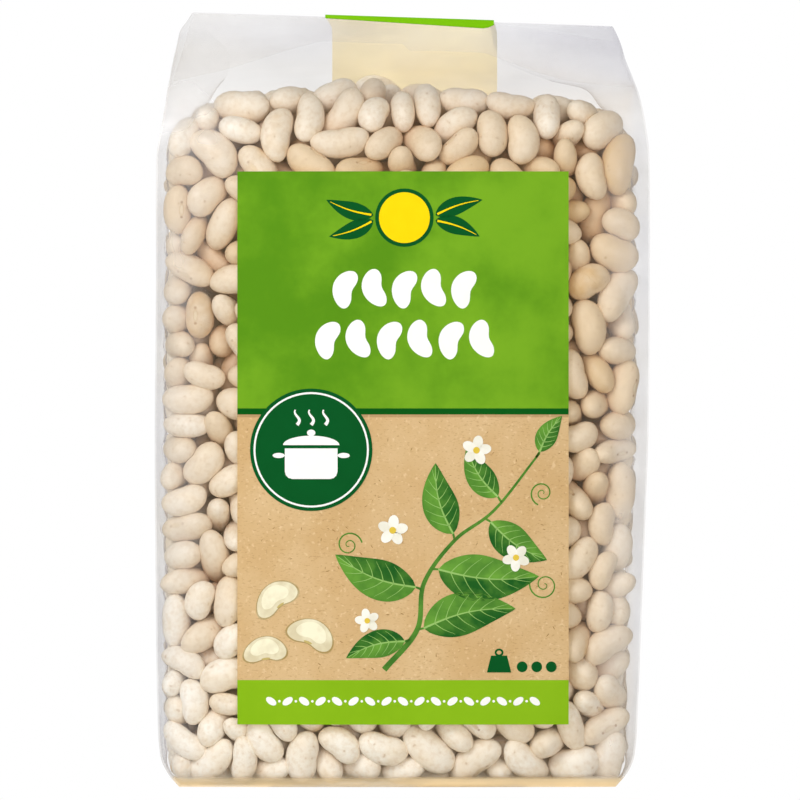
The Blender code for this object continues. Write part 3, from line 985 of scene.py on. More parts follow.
def bean_kinds(name, rings, sides):
    """A collection of bean shapes: longer, rounder, flatter and more bent ones."""
    kinds = bpy.data.collections.new(name)
    for i, (length, width, thickness, bend, fat_end) in enumerate(BEAN_KINDS):
        kinds.objects.link(
            bean_shape(
                f"{name}_{i}",
                BEAN_LENGTH * length,
                BEAN_WIDTH * width,
                BEAN_THICKNESS * thickness,
                bend,
                fat_end,
                rings,
                sides,
            )
        )
    return kinds


def beans_tree():
    """Puts a bean on each point, with the kind, turn and size that the point carries."""
    tree, given, result = shape_tree(
        "poured beans",
        (
            ("Bean Kinds", "NodeSocketCollection", None),
            ("Skin", "NodeSocketMaterial", None),
        ),
    )

    def carried(name, kind):
        return node(tree, "GeometryNodeInputNamedAttribute", {"data_type": kind}, Name=name).outputs[0]

    kinds = node(
        tree,
        "GeometryNodeCollectionInfo",
        Collection=given.outputs["Bean Kinds"],
        Separate_Children=True,
        Reset_Children=True,
    )
    turn = node(tree, "FunctionNodeEulerToRotation", Euler=carried("turn", "FLOAT_VECTOR"))
    placed = node(
        tree,
        "GeometryNodeInstanceOnPoints",
        Points=given.outputs["Geometry"],
        Instance=kinds.outputs[0],
        Pick_Instance=True,
        Instance_Index=carried("kind", "INT"),
        Rotation=turn.outputs[0],
        Scale=carried("size", "FLOAT"),
    )
    real = node(tree, "GeometryNodeRealizeInstances", Geometry=placed.outputs[0])
    return give_material(tree, result, real.outputs[0], given.outputs["Skin"])


def bean_piece(name, tree, kinds, skin, chosen, beans):
    """One piece of joined beans, made on a cloud of points."""
    places, eulers, sizes, kind, marks = (values[chosen] for values in beans)
    cloud = mesh_from(name + "_points", places, [])
    add_attribute(cloud, "turn", "FLOAT_VECTOR", eulers)
    add_attribute(cloud, "size", "FLOAT", sizes)
    add_attribute(cloud, "kind", "INT", kind)
    for column, mark in enumerate(("tone", "stain", "scar")):
        add_attribute(cloud, mark, "FLOAT", marks[:, column])
    carrier = object_from(name + "_points", cloud)
    piece = shaped(carrier, tree, name, Bean_Kinds=kinds, Skin=skin)
    points = np.empty(3 * len(piece.data.vertices))
    piece.data.vertices.foreach_get("co", points)
    # How far each point lies from the film, for the painted shade between the beans in the skin.
    add_attribute(piece.data, "deep", "FLOAT", film_distance(points.reshape(-1, 3)))
    keep(piece, "beans_in_film", "bag")
    return piece


def film_distance(places):
    """How far each place is from the nearest film, or from the top of the heap."""
    x, y, half_width, corner, bulge, _, pinched, _ = film_round(places)
    depth = panel_depth(x, half_width, corner, bulge)
    below_top = heap_top(places[:, 0]) - places[:, 2]
    to_side = half_width - pinched - np.abs(x)
    return np.minimum.reduce((depth - np.abs(y), to_side, places[:, 2], below_top))


def make_beans():
    """All the beans, in three pieces: those in front, those at the sides, back, top and base, and
    those that only show through gaps, which are simpler."""
    rng = np.random.default_rng(POUR_SEED + 1)
    kind = rng.integers(0, len(BEAN_KINDS), BEAN_COUNT).astype(np.int32)
    places, turns, sizes = poured_beans(kind)
    eulers = np.array([Quaternion(q.tolist()).to_euler("XYZ")[:] for q in turns])
    x, z = places[:, 0], places[:, 2]
    # Painted light: each bean's tone is made paler to the left, low down and at the top of the heap, and
    # darker towards the upper right, as the light falls there. This is added to its own random tone.
    brighter = np.clip(0.5 - 5.5 * x - 6.0 * (z - 0.07) + 0.9 * smooth_step(0.130, 0.145, z), 0.0, 1.0)
    tone = 0.45 * rng.beta(2.2, 2.0, BEAN_COUNT) + 0.55 * brighter
    # Painted light: the lowest beans are made paler still, for the light from the floor.
    tone = np.minimum(1.0, tone + 0.25 * smooth_step(0.030, 0.008, z))
    marks = np.stack((tone, rng.beta(1.2, 3.2, BEAN_COUNT), rng.random(BEAN_COUNT)), 1)
    beans = (places, eulers, sizes, kind, marks)
    shown = film_distance(places) < SHOWN_DEPTH
    front = shown & (places[:, 1] < FRONT_FROM)
    skin = bean_skin()
    tree = beans_tree()
    fine = bean_kinds("fine_bean", 12, 16)
    plain = bean_kinds("plain_bean", 9, 11)
    simple = bean_kinds("simple_bean", 6, 8)
    pieces = [
        bean_piece("beans_in_front", tree, fine, skin, front, beans),
        bean_piece("beans_round_the_sides", tree, plain, skin, shown & ~front, beans),
        bean_piece("beans_inside", tree, simple, skin, ~shown, beans),
    ]
    for kinds in (fine, plain, simple):
        for shape in list(kinds.objects):
            bpy.data.objects.remove(shape, do_unlink=True)
        bpy.data.collections.remove(kinds)
    return pieces


# The film


def film_levels():
    """The heights of the film's rings, closer together where it bends."""
    foot = np.linspace(0.0, 0.0072, 10)[:-1]
    body = np.linspace(0.0072, 0.1410, 108)[:-1]
    top = np.linspace(0.1410, BAG_HEIGHT, 34)
    return np.concatenate((foot, body, top))


def foot_fold(z):
    """1 where the film is folded in layers along the foot and 0 above that."""
    return 1 - smooth_step(FOOT_FOLD * 0.7, FOOT_FOLD * 1.3, z)


def film_ring(z):
    """One level outline of the film: front from left to right, the right side, the back from
    right to left, and the left side, with how far each point may be drawn in between the beans."""
    half_width, corner, bulge, pinch, lean = cuts_at(z)
    deep = max(pinch, float(table_at(TUCK, z))) if z > TUCK[0][0] else pinch
    sharp = smooth_step(TUCK_SHARP_FROM, TUCK_SHARP_TO, z)
    fullness = SIDE_FULLNESS + (1.0 - SIDE_FULLNESS) * sharp
    middle = float(middle_at(z))
    kink = -float(table_at(LEFT_KINKS, z))
    share = np.sin(np.pi / 2 * np.linspace(-1, 1, 83) * 0.92) / math.sin(np.pi / 2 * 0.92)
    aside = np.abs(share)
    across = np.linspace(-1, 1, 33)[1:-1]
    across = np.sign(across) * np.abs(across) ** 0.9
    level = smooth_step(0.004, 0.009, z) * (1 - smooth_step(0.1450, 0.1500, z))
    empty = smooth_step(0.1400, 0.1520, z)
    points, give, veil, bloom = [], [], [], []
    for facing in (-1, 1):
        x = middle - facing * half_width * share
        y = lean + facing * (corner + bulge * (1 - aside**PANEL_FULLNESS))
        x = x + kink * smooth_step(0.0, -half_width, x)
        points.append(np.stack((x, y, np.full_like(x, z)), -1))
        give.append(level * (1 - smooth_step(0.86, 0.95, aside)))
        stacked = FOOT_VEIL * foot_fold(z)
        veil.append(np.full_like(x, PANEL_VEIL + (TOP_VEIL - PANEL_VEIL) * empty + stacked))
        # Painted sheen: the front and back film are marked to be whitened near the creased corners below
        # the empty top, and the front for a painted glare on its upper left.
        edges = smooth_step(0.74, 0.90, aside) * (1 - 0.6 * smooth_step(0.92, 0.99, aside))
        glare = np.exp(-(((x - GLARE_X) / GLARE_WIDTH) ** 2) - ((z - GLARE_Z) / GLARE_HEIGHT) ** 2)
        bloom.append(np.minimum(2.0, 0.55 * edges * (1 - empty) + 1.2 * glare * (facing < 0)))
        tuck = pinch * pinch_left(LEFT_PINCH, z) if facing > 0 else deep * pinch_left(RIGHT_PINCH, z)
        out = half_width - tuck * (1 - np.abs(across) ** fullness)
        x = middle - facing * out
        x = x + kink * smooth_step(0.0, -half_width, x)
        y = lean - facing * across * corner
        points.append(np.stack((x, y, np.full_like(out, z)), -1))
        give.append(level * (1 - smooth_step(0.70, 0.85, np.abs(across))))
        faded = empty * (1 - across**4) * (0.9 if facing > 0 else 0.7)
        veil.append(GUSSET_VEIL * (1 - faded))
        bloom.append(np.zeros_like(out))
    return tuple(np.concatenate(values) for values in (points, give, veil, bloom))


def under_label(points):
    """1 where a label lies on the film and 0 elsewhere, with a soft edge."""
    x, y, z = points.T
    edge = 0.0012
    front = smooth_step(LABEL_HALF_WIDTH + edge, LABEL_HALF_WIDTH - edge / 4, np.abs(x))
    front *= smooth_step(LABEL_BOTTOM - edge, LABEL_BOTTOM + edge / 4, z)
    front *= smooth_step(LABEL_TOP + edge, LABEL_TOP - edge / 4, z)
    back = smooth_step(
        CLOSING_HALF_WIDTH + edge, CLOSING_HALF_WIDTH - edge / 4, np.abs(x - CLOSING_CENTRE)
    )
    back *= smooth_step(CLOSING_BACK_END - edge, CLOSING_BACK_END + edge / 4, z)
    back *= 1 - smooth_step(FLAP_END - 0.006, FLAP_END - 0.002, z)
    return np.where(y < 0, front, back)


def cling_tree():
    """Draws the film in between the beans behind it, as far as it gives there."""
    tree, given, result = shape_tree(
        "film clings to beans",
        (
            ("Beans In Front", "NodeSocketObject", None),
            ("Beans Behind", "NodeSocketObject", None),
            ("Reach", "NodeSocketFloat", 0.006),
            ("Clearance", "NodeSocketFloat", 0.00045),
            ("Most Dip", "NodeSocketFloat", 0.0007),
            ("Smoothing", "NodeSocketInt", 6),
            ("Film", "NodeSocketMaterial", None),
        ),
    )
    start_out = 0.0006
    beans = node(tree, "GeometryNodeJoinGeometry")
    for label in ("Beans In Front", "Beans Behind"):
        info = node(tree, "GeometryNodeObjectInfo", Object=given.outputs[label])
        tree.links.new(info.outputs["Geometry"], beans.inputs[0])
    normal = node(tree, "GeometryNodeInputNormal").outputs[0]
    place = node(tree, "GeometryNodeInputPosition").outputs[0]
    ray = node(
        tree,
        "GeometryNodeRaycast",
        Target_Geometry=beans.outputs[0],
        Source_Position=vector_node(tree, "ADD", place, vector_node(tree, "SCALE", normal, start_out)),
        Ray_Direction=vector_node(tree, "SCALE", normal, -1.0),
        Ray_Length=given.outputs["Reach"],
    )
    distance = math_node(tree, "SUBTRACT", ray.outputs["Hit Distance"], start_out)
    missed = math_node(tree, "SUBTRACT", 1.0, ray.outputs["Is Hit"])
    gap = math_node(tree, "ADD", distance, missed)
    room = math_node(tree, "SUBTRACT", gap, given.outputs["Clearance"])
    room = math_node(tree, "MINIMUM", room, given.outputs["Most Dip"])
    soft = node(
        tree, "GeometryNodeBlurAttribute", Value=room, Iterations=given.outputs["Smoothing"]
    ).outputs[0]
    dip = math_node(tree, "MINIMUM", soft, room)
    give = node(tree, "GeometryNodeInputNamedAttribute", Name="give").outputs[0]
    lift = node(tree, "GeometryNodeInputNamedAttribute", Name="lift").outputs[0]
    out = math_node(tree, "SUBTRACT", lift, math_node(tree, "MULTIPLY", dip, give))
    moved = node(
        tree,
        "GeometryNodeSetPosition",
        Geometry=given.outputs["Geometry"],
        Offset=vector_node(tree, "SCALE", normal, out),
    )
    return give_material(tree, result, moved.outputs[0], given.outputs["Film"])


def make_film(film, front_beans, other_beans):
    levels = film_levels()
    rings, gives, veils, sheens = zip(*(film_ring(z) for z in levels))
    count = len(rings[0])
    points = np.concatenate(rings)
    give = np.concatenate(gives)
    glued = under_label(points)
    faces = [tuple(range(count - 1, -1, -1))]
    faces.append(tuple(range(len(points) - count, len(points))))
    for level in range(len(rings) - 1):
        base = level * count
        for i in range(count):
            j = (i + 1) % count
            faces.append((base + i, base + j, base + count + j, base + count + i))
    mesh = mesh_from("film", slanted(points), faces)
    turned_outwards(mesh)
    add_attribute(mesh, "give", "FLOAT", give * (1 - glued))
    add_attribute(mesh, "lift", "FLOAT", glued * GLUED_LIFT)
    add_attribute(mesh, "veil", "FLOAT", np.concatenate(veils))
    add_attribute(mesh, "bloom", "FLOAT", np.concatenate(sheens))
    add_attribute(mesh, "foot", "FLOAT", np.repeat(foot_fold(levels), count))
    carrier = object_from("film_form", mesh)
    piece = shaped(
        carrier,
        cling_tree(),
        "clear_film_bag",
        Beans_In_Front=front_beans,
        Beans_Behind=other_beans,
        Film=film,
    )
    piece.data.shade_smooth()
    piece.data.set_sharp_from_angle(angle=math.radians(50))
    keep(piece, "beans_in_film", "bag")


def sheet_piece(name, inner, outer, finishes, face_finish=None):
    """A closed sheet between two grids of points. face_finish gives the material number of a face
    of the inner (0) or outer (1) grid, or of the rim (2), by its column and row."""
    columns, rows = inner.shape[:2]
    points = np.concatenate((slanted(inner).reshape(-1, 3), slanted(outer).reshape(-1, 3)))
    offset = columns * rows
    faces, numbers = [], []
    face_finish = face_finish or (lambda face, column, row: 0)

    def add(corners, face, column, row):
        faces.append(corners)
        numbers.append(face_finish(face, column, row))

    for c in range(columns - 1):
        for r in range(rows - 1):
            a, b = c * rows + r, (c + 1) * rows + r
            add((a, b, b + 1, a + 1), 0, c, r)
            add((a + offset, a + 1 + offset, b + 1 + offset, b + offset), 1, c, r)
        for r in (0, rows - 1):
            a, b = c * rows + r, (c + 1) * rows + r
            add((a, b, b + offset, a + offset), 2, c, min(r, rows - 2))
    for c in (0, columns - 1):
        for r in range(rows - 1):
            a = c * rows + r
            add((a, a + 1, a + 1 + offset, a + offset), 2, min(c, columns - 2), r)
    mesh = mesh_from(name, points, faces)
    mesh.polygons.foreach_set("material_index", np.array(numbers, np.int32))
    turned_outwards(mesh)
    mesh.set_sharp_from_angle(angle=math.radians(40))
    return object_from(name, mesh, *finishes)


def make_front_label(finishes):
    """The front label, with its printed fields as faces of their own colour, and a narrow row of darker
    kraft under the dark line as a painted shadow.
    """
    x = np.linspace(-LABEL_HALF_WIDTH, LABEL_HALF_WIDTH, 49)
    shadow_bottom = DARK_LINE_BOTTOM - 0.0006
    borders = (LABEL_BOTTOM, LOW_STRIP_TOP, shadow_bottom, DARK_LINE_BOTTOM, DARK_LINE_TOP, LABEL_TOP)
    z, row_field = [LABEL_BOTTOM], []
    for steps, low, high, number in zip((7, 38, 1, 1, 34), borders, borders[1:], range(5)):
        z += list(np.linspace(low, high, steps + 1)[1:])
        row_field += [number] * steps
    grid_x, grid_z = np.meshgrid(x, np.array(z), indexing="ij")
    film = panel_film(-1, grid_x, grid_z)
    normal = panel_normal(-1, grid_x, grid_z)
    inner = film + normal * PAPER_GAP
    outer = film + normal * (PAPER_GAP + PAPER_THICKNESS)

    def face_finish(face, column, row):
        return row_field[row] if face == 1 else 5

    piece = sheet_piece("front_label_paper", inner, outer, finishes, face_finish)
    keep(piece, "printed_paper", "front_label")
    return piece


def closing_path(across):
    """The way that one lengthwise line of the closing label takes over the top and down the back.
    across is -1 at its left edge and 1 at its right. It is stuck on a little askew: its front end
    hangs lower on the right, where its corner is rounded, and behind the top it lies further to
    the right."""
    front_x = CLOSING_FRONT_CENTRE + CLOSING_FRONT_HALF * across
    back_x = CLOSING_CENTRE + CLOSING_HALF_WIDTH * across
    front_end = 0.1639 - 0.0006 * across + 0.0009 * smooth_step(0.90, 1.0, across)
    front = [panel_film(-1, front_x, z) for z in np.linspace(front_end, 0.1647, 3)]
    _, corner, _, _, lean = cuts_at(np.array(BAG_HEIGHT))
    front += [np.array((front_x, lean + side * corner, BAG_HEIGHT)) for side in (-1, 1)]
    heights = [0.1645, 0.1634, 0.1620, 0.1602, 0.1585, 0.1567, 0.1550, 0.1525]
    heights += [FLAP_END, 0.1492, 0.1485, 0.1468, 0.1450, 0.1425, 0.1400, 0.1370]
    heights += list(np.linspace(0.1340, CLOSING_BACK_END, 40))
    z = np.array(heights)
    x = front_x + (back_x - front_x) * (1 - smooth_step(0.1615, BAG_HEIGHT, z))
    back = panel_film(1, x, z) + panel_normal(1, x, z) * flap_cover(x, z)[:, None]
    return np.concatenate((np.array(front), back))


def beside(path, distance):
    """The path moved outwards in its own upright plane, mitred at its bends."""
    ways = np.diff(path, axis=0)
    ways /= np.linalg.norm(ways, axis=1)[:, None]
    before = np.concatenate((ways[:1], ways))
    after = np.concatenate((ways, ways[-1:]))
    along = before + after
    along /= np.linalg.norm(along, axis=1)[:, None]
    mitre = distance / np.maximum(0.6, (along * after).sum(1))
    out = np.stack((np.zeros(len(path)), -along[:, 2], along[:, 1]), -1)
    return path + out * mitre[:, None]


def make_closing_label(finishes):
    """Cream paper inside. Outside it is printed: bright green at the top, kraft further down,
    with a dark line between them and a green end."""
    paths = [closing_path(across) for across in np.linspace(-1, 1, 33)]
    inner = np.array([beside(path, PAPER_GAP) for path in paths])
    outer = np.array([beside(path, PAPER_GAP + PAPER_THICKNESS) for path in paths])
    heights = paths[0][:, 2]

    def face_finish(face, column, row):
        if face == 0:
            return 0
        z = heights[min(row + 1, len(heights) - 1)]
        if row < CLOSING_TOP_ROWS or z > CLOSING_LINE_TOP:
            return 1
        if z > CLOSING_LINE_BOTTOM:
            return 2
        return 3 if z > CLOSING_STRIP_TOP else 1

    piece = sheet_piece("closing_label_paper", inner, outer, finishes, face_finish)
    keep(piece, "closing_paper", "closing_label")


def flap_edges(x):
    """How high and how low the folded-over end reaches. It is folded a little askew, so its crease
    drops away from the top on the right, and it is highest under the closing label."""
    top = 0.1645 - 0.0036 * smooth_step(0.014, 0.052, x)
    return top, np.where(x > 0, table_at(FLAP_RIGHT, x), table_at(FLAP_LEFT, -x))


def make_flap(film):
    """The empty end of the film, folded over the top onto the slope of the back."""
    across, share = np.meshgrid(np.linspace(-1, 1, 69), np.linspace(0.0, 1.0, 13), indexing="ij")
    top, low = flap_edges(across * FLAP_HALF_WIDTH)
    grid_z = top + (low - top) * share
    grid_x = across * (cuts_at(grid_z)[..., 0] - 0.0006)
    back = panel_film(1, grid_x, grid_z)
    normal = panel_normal(1, grid_x, grid_z)
    lift = 0.00026 + 0.0001 * np.sin(grid_x * 260) * share
    thick = 0.00025 + 0.0001 * share
    piece = sheet_piece(
        "folded_end", back + normal * lift[..., None], back + normal * (lift + thick)[..., None], [film]
    )
    keep(piece, "beans_in_film", "bag")


# The print: flat shapes in the plane of the label, x to the right and z up. They are drawn in
# millimetres, gathered colour by colour, and laid on the paper.

MM = 0.001


class Ink:
    """The flat shapes of one printed colour."""

    def __init__(self):
        self.points, self.faces, self.layers, self.shades = [], [], [], []

    def add(self, loops, layer=0, shade=0.5):
        """Loops holds an outline and any holes in it, each a list of (x, z)."""
        flat = [(x, z) for loop in loops for x, z in loop]
        triangles = tessellate_polygon([[Vector((x, z, 0.0)) for x, z in loop] for loop in loops])
        start = len(self.points)
        self.points += [(x * MM, INK_PLANE_Y, z * MM) for x, z in flat]
        self.faces += [tuple(start + i for i in triangle) for triangle in triangles]
        self.layers += [layer] * len(flat)
        self.shades += list(shade) if hasattr(shade, "__len__") else [shade] * len(flat)


def oval(x, z, long_half, short_half, turn=0.0, steps=28):
    """An oval outline. The turn is in degrees."""
    cos, sin = math.cos(math.radians(turn)), math.sin(math.radians(turn))
    outline = []
    for i in range(steps):
        angle = 2 * math.pi * i / steps
        a, b = long_half * math.cos(angle), short_half * math.sin(angle)
        outline.append((x + a * cos - b * sin, z + a * sin + b * cos))
    return outline


def bean_outline(x, z, length, turn, steps=40):
    """A kidney outline, hollow on its lower side before it is turned."""
    cos, sin = math.cos(math.radians(turn)), math.sin(math.radians(turn))
    outline = []
    for i in range(steps):
        angle = 2 * math.pi * i / steps
        a = length / 2 * math.cos(angle)
        b = length * 0.30 * math.sin(angle) * (1 + 0.08 * math.cos(angle))
        if b < 0:
            b += length * 0.09 * math.exp(-((a / (0.20 * length)) ** 2))
        b -= 0.40 / length * a * a
        outline.append((x + a * cos - b * sin, z + a * sin + b * cos))
    return outline


def between(first, second):
    """The outline between two lines of points that share their ends."""
    return list(map(tuple, first)) + list(map(tuple, second[-2:0:-1]))


def band(path, start_width, end_width):
    """A strip along a path of (x, z), tapered from one width to the other."""
    path = np.array(path, float)
    way = np.gradient(path, axis=0)
    way /= np.linalg.norm(way, axis=1)[:, None]
    widths = np.linspace(start_width, end_width, len(path))
    side = np.stack((-way[:, 1], way[:, 0]), 1) * widths[:, None] / 2
    return [tuple(p) for p in path + side] + [tuple(p) for p in (path - side)[::-1]]


def curve(points, steps=24):
    """A smooth path through points."""
    points = np.array(points, float)
    padded = np.concatenate((2 * points[:1] - points[1:2], points, 2 * points[-1:] - points[-2:-1]))
    out = []
    for i in range(len(points) - 1):
        a, b, c, d = padded[i : i + 4]
        for t in np.linspace(0, 1, steps // (len(points) - 1) + 2)[:-1]:
            bend = (2 * a - 5 * b + 4 * c - d) * t**2
            out.append(0.5 * (2 * b + (c - a) * t + bend + (3 * b - a - 3 * c + d) * t**3))
    return np.array(out + [points[-1]])


def leaf_shape(base, turn, length, width, bend):
    """The midrib of a pointed leaf, and how far its edge lies to each side of it."""
    t = np.linspace(0, 1, 25)
    along, aside = t * length, bend * length * np.sin(np.pi * t)
    cos, sin = math.cos(math.radians(turn)), math.sin(math.radians(turn))
    midrib = np.stack((base[0] + along * cos - aside * sin, base[1] + along * sin + aside * cos), 1)
    half = width / 2 * np.sin(np.pi * t**0.82) ** 0.85 * (1 - 0.25 * t)
    way = np.gradient(midrib, axis=0)
    way /= np.linalg.norm(way, axis=1)[:, None]
    side = np.stack((-way[:, 1], way[:, 0]), 1)
    return midrib, half, side


def draw_leaf(fill, veins, base, turn, length, width, bend):
    """A leaf with one half in shade, and its veins."""
    midrib, half, side = leaf_shape(base, turn, length, width, bend)
    for sign, tone in ((1, 0.80), (-1, 0.35)):
        edge = midrib + side * (sign * half)[:, None]
        shades = [tone] * len(midrib) + [tone - 0.22] * (len(edge) - 2)
        fill.add([between(midrib, edge)], 1, shades)
    veins.add([band(midrib[:-1], 0.42, 0.10)], 2)
    for i in range(3, 20, 3):
        for sign in (1, -1):
            start, reach = midrib[i], min(i + 4, len(midrib) - 1)
            tip = midrib[reach] + side[reach] * sign * half[reach] * 0.86
            middle = (start + tip) / 2 + (midrib[reach] - start) * -0.10
            veins.add([band(curve((start, middle, tip), 6), 0.20, 0.05)], 2)


def draw_blossom(petals, hearts, x, z, radius, turn):
    """Five rounded petals round a small heart."""
    for i in range(5):
        angle = turn + 72 * i
        away = radius * 0.56
        px = x + away * math.cos(math.radians(angle))
        pz = z + away * math.sin(math.radians(angle))
        shade = 0.75 + 0.2 * (i % 2)
        petals.add([oval(px, pz, radius * 0.50, radius * 0.36, angle, 20)], 3 + i % 2, shade)
    hearts.add([oval(x, z, radius * 0.24, radius * 0.24, 0, 14)], 5)


def draw_tendril(fill, x, z, size, turn, hand):
    """A thin spiral."""
    path = []
    for i in range(40):
        t = i / 39
        angle = math.radians(turn) + hand * t * 3.6 * math.pi
        reach = size * (1 - t) ** 1.2 + 0.25
        path.append((x + reach * math.cos(angle), z + reach * math.sin(angle)))
    fill.add([band(path, 0.34, 0.16)], 0, 0.45)


def draw_emblem(yellow, dark):
    """A plain yellow disc between two pairs of leaves, on the green field."""
    x, z = 0.3, 121.0
    dark.add([oval(x, z, 6.2, 6.2, 0, 48)], 0)
    yellow.add([oval(x, z, 5.4, 5.4, 0, 48)], 1)
    for sign in (1, -1):
        for turn, length in ((18, 10.5), (-20, 10.0)):
            angle = turn if sign > 0 else 180 - turn
            midrib, half, side = leaf_shape((x + sign * 6.6, z + turn * 0.03), angle, length, 4.2, 0.05)
            reach = side * half[:, None]
            dark.add([between(midrib + reach, midrib - reach)], 0)
            yellow.add([band(midrib[1:-2], 0.45, 0.12)], 1)


def draw_title(white):
    """Two rows of upright beans in place of a title."""
    for count, middle, height, reach in ((5, 0.1, 105.9, 12.6), (6, 0.2, 95.1, 16.4)):
        for i in range(count):
            x = middle + reach * (2 * i / (count - 1) - 1)
            turn = 90 + (16 if i % 2 else -16)
            white.add([bean_outline(x, height, 8.2, turn)], 0)


def draw_badge(dark, white):
    """A round badge with a cooking pot."""
    x, z = -19.5, 71.7
    dark.add([oval(x, z, 13.0, 13.0, 0, 72)], 2)
    white.add([oval(x, z, 12.25, 12.25, 0, 72), oval(x, z, 11.85, 11.85, 0, 72)], 3)
    half, foot, corner = 5.6, z - 6.2, 1.6
    bends = [(corner * (1 - math.cos(a)), corner * (1 - math.sin(a))) for a in (0.5, 1.0)]
    body = [(x - half, z + 0.3), (x - half, foot + corner)]
    body += [(x - half + small, foot + large) for small, large in bends]
    body += [(x - half + corner, foot), (x + half - corner, foot)]
    body += [(x + half - large, foot + small) for small, large in bends]
    body += [(x + half, foot + corner), (x + half, z + 0.3)]
    white.add([body], 3)
    lid = [(x + 6.0 * math.cos(a), z + 1.0 + 2.0 * math.sin(a)) for a in np.linspace(0, math.pi, 20)]
    white.add([lid], 3)
    white.add([oval(x, z + 3.6, 0.9, 0.7, 0, 16)], 3)
    for sign in (1, -1):
        white.add([oval(x + sign * 6.9, z - 1.2, 1.3, 0.55, 0, 16)], 3)
    for offset in (-3.0, 0.0, 3.0):
        path = [(x + offset + 0.5 * math.sin(t * 5.5), z + 5.3 + 3.2 * t) for t in np.linspace(0, 1, 14)]
        white.add([band(path, 0.75, 0.3)], 3)


def draw_weight(dark):
    """A small kitchen weight and three dots in place of the weight's figures."""
    x, z = 20.4, 26.9
    dark.add([[(x - 2.6, z - 2.5), (x + 2.6, z - 2.5), (x + 1.7, z + 1.1), (x - 1.7, z + 1.1)]], 0)
    dark.add([oval(x, z + 1.75, 0.95, 0.85, 0, 20), oval(x, z + 1.75, 0.5, 0.42, 0, 20)], 0)
    for i in range(3):
        dark.add([oval(x + 4.9 + 3.1 * i, z - 1.3, 1.15, 1.15, 0, 20)], 0)


def draw_border(white):
    """A row of small ovals and dots along the low strip."""
    for i in range(17):
        x = -28.0 + 3.5 * i
        white.add([oval(x, 18.3, 1.25, 0.72, 35 if i % 2 else -35, 18)], 0)
        if i < 16:
            white.add([oval(x + 1.75, 18.3, 0.28, 0.28, 0, 10)], 0)


def draw_plant(leaves, veins, petals, hearts):
    """A climbing twig with single leaves, blossoms and tendrils."""
    stem = curve(((-4.0, 25.0), (3.0, 33.5), (4.5, 43.5), (11.0, 52.5), (19.5, 59.0), (29.0, 71.0)), 60)
    leaves.add([band(stem, 1.25, 0.45)], 0, 0.42)
    for where, turn, length, width, bend in (
        (0.16, 196, 13.0, 6.6, -0.08),
        (0.20, 12, 20.0, 10.2, 0.07),
        (0.38, 158, 18.5, 9.6, 0.08),
        (0.47, -4, 21.5, 11.0, -0.06),
        (0.60, 104, 15.5, 8.4, 0.08),
        (0.76, -34, 14.5, 8.0, -0.07),
        (0.84, 122, 12.5, 6.6, 0.08),
        (0.985, 58, 9.0, 5.0, 0.06),
    ):
        foot = stem[int(where * (len(stem) - 1))]
        way = np.array((math.cos(math.radians(turn)), math.sin(math.radians(turn))))
        base = foot + way * 1.4
        leaves.add([band((foot, foot + way * 0.8, base + way * 0.4), 0.55, 0.4)], 0, 0.42)
        draw_leaf(leaves, veins, base, turn, length, width, bend)
    for x, z, radius, turn in (
        (-2.2, 54.6, 3.1, 12),
        (24.0, 48.8, 2.8, 50),
        (15.6, 71.6, 3.0, 80),
        (-7.6, 35.4, 2.5, 30),
    ):
        draw_blossom(petals, hearts, x, z, radius, turn)
    for x, z, size, turn, hand in (
        (30.0, 43.0, 3.0, 160, 1),
        (29.6, 62.5, 2.4, 250, -1),
        (-11.5, 51.5, 2.6, 10, 1),
    ):
        draw_tendril(leaves, x, z, size, turn, hand)


def draw_loose_beans(cream, scars):
    """Three beans lying on the kraft paper, each a dim rim, a lit body and a brighter back."""
    parts = ((1.0, 0.0, 1, 0.05), (0.93, 0.08, 2, 0.70), (0.62, 0.55, 3, 0.98))
    for x, z, length, turn in ((-27.2, 40.2, 10.6, 38), (-19.5, 32.6, 10.8, -22), (-29.4, 29.2, 9.8, 8)):
        lean = math.radians(turn + 90)
        up = (math.cos(lean), math.sin(lean))
        for size, shift, layer, tone in parts:
            outline = bean_outline(x + up[0] * shift, z + up[1] * shift, length * size, turn)
            cream.add([outline], layer, tone)
        scars.add([oval(x - up[0] * 1.9, z - up[1] * 1.9, 0.95, 0.24, turn, 14)], 4)


def laid_tree():
    """Lays flat shapes on the paper in front of them, each layer a hair's breadth further out."""
    tree, given, result = shape_tree(
        "print laid on paper",
        (
            ("Paper", "NodeSocketObject", None),
            ("Ink Step", "NodeSocketFloat", INK),
            ("Colour", "NodeSocketMaterial", None),
        ),
    )
    paper_shape = node(tree, "GeometryNodeObjectInfo", Object=given.outputs["Paper"])
    place = node(tree, "GeometryNodeInputPosition").outputs[0]
    ray = node(
        tree,
        "GeometryNodeRaycast",
        Target_Geometry=paper_shape.outputs["Geometry"],
        Source_Position=place,
        Ray_Direction=(0.0, 1.0, 0.0),
        Ray_Length=0.1,
    )
    layer = node(tree, "GeometryNodeInputNamedAttribute", Name="layer").outputs[0]
    lift = math_node(tree, "MULTIPLY", math_node(tree, "ADD", layer, 1.0), given.outputs["Ink Step"])
    lifted = vector_node(
        tree, "ADD", ray.outputs["Hit Position"], vector_node(tree, "SCALE", (0.0, -1.0, 0.0), lift)
    )
    moved = node(
        tree,
        "GeometryNodeSetPosition",
        Geometry=given.outputs["Geometry"],
        Selection=ray.outputs["Is Hit"],
        Position=lifted,
    )
    return give_material(tree, result, moved.outputs[0], given.outputs["Colour"])


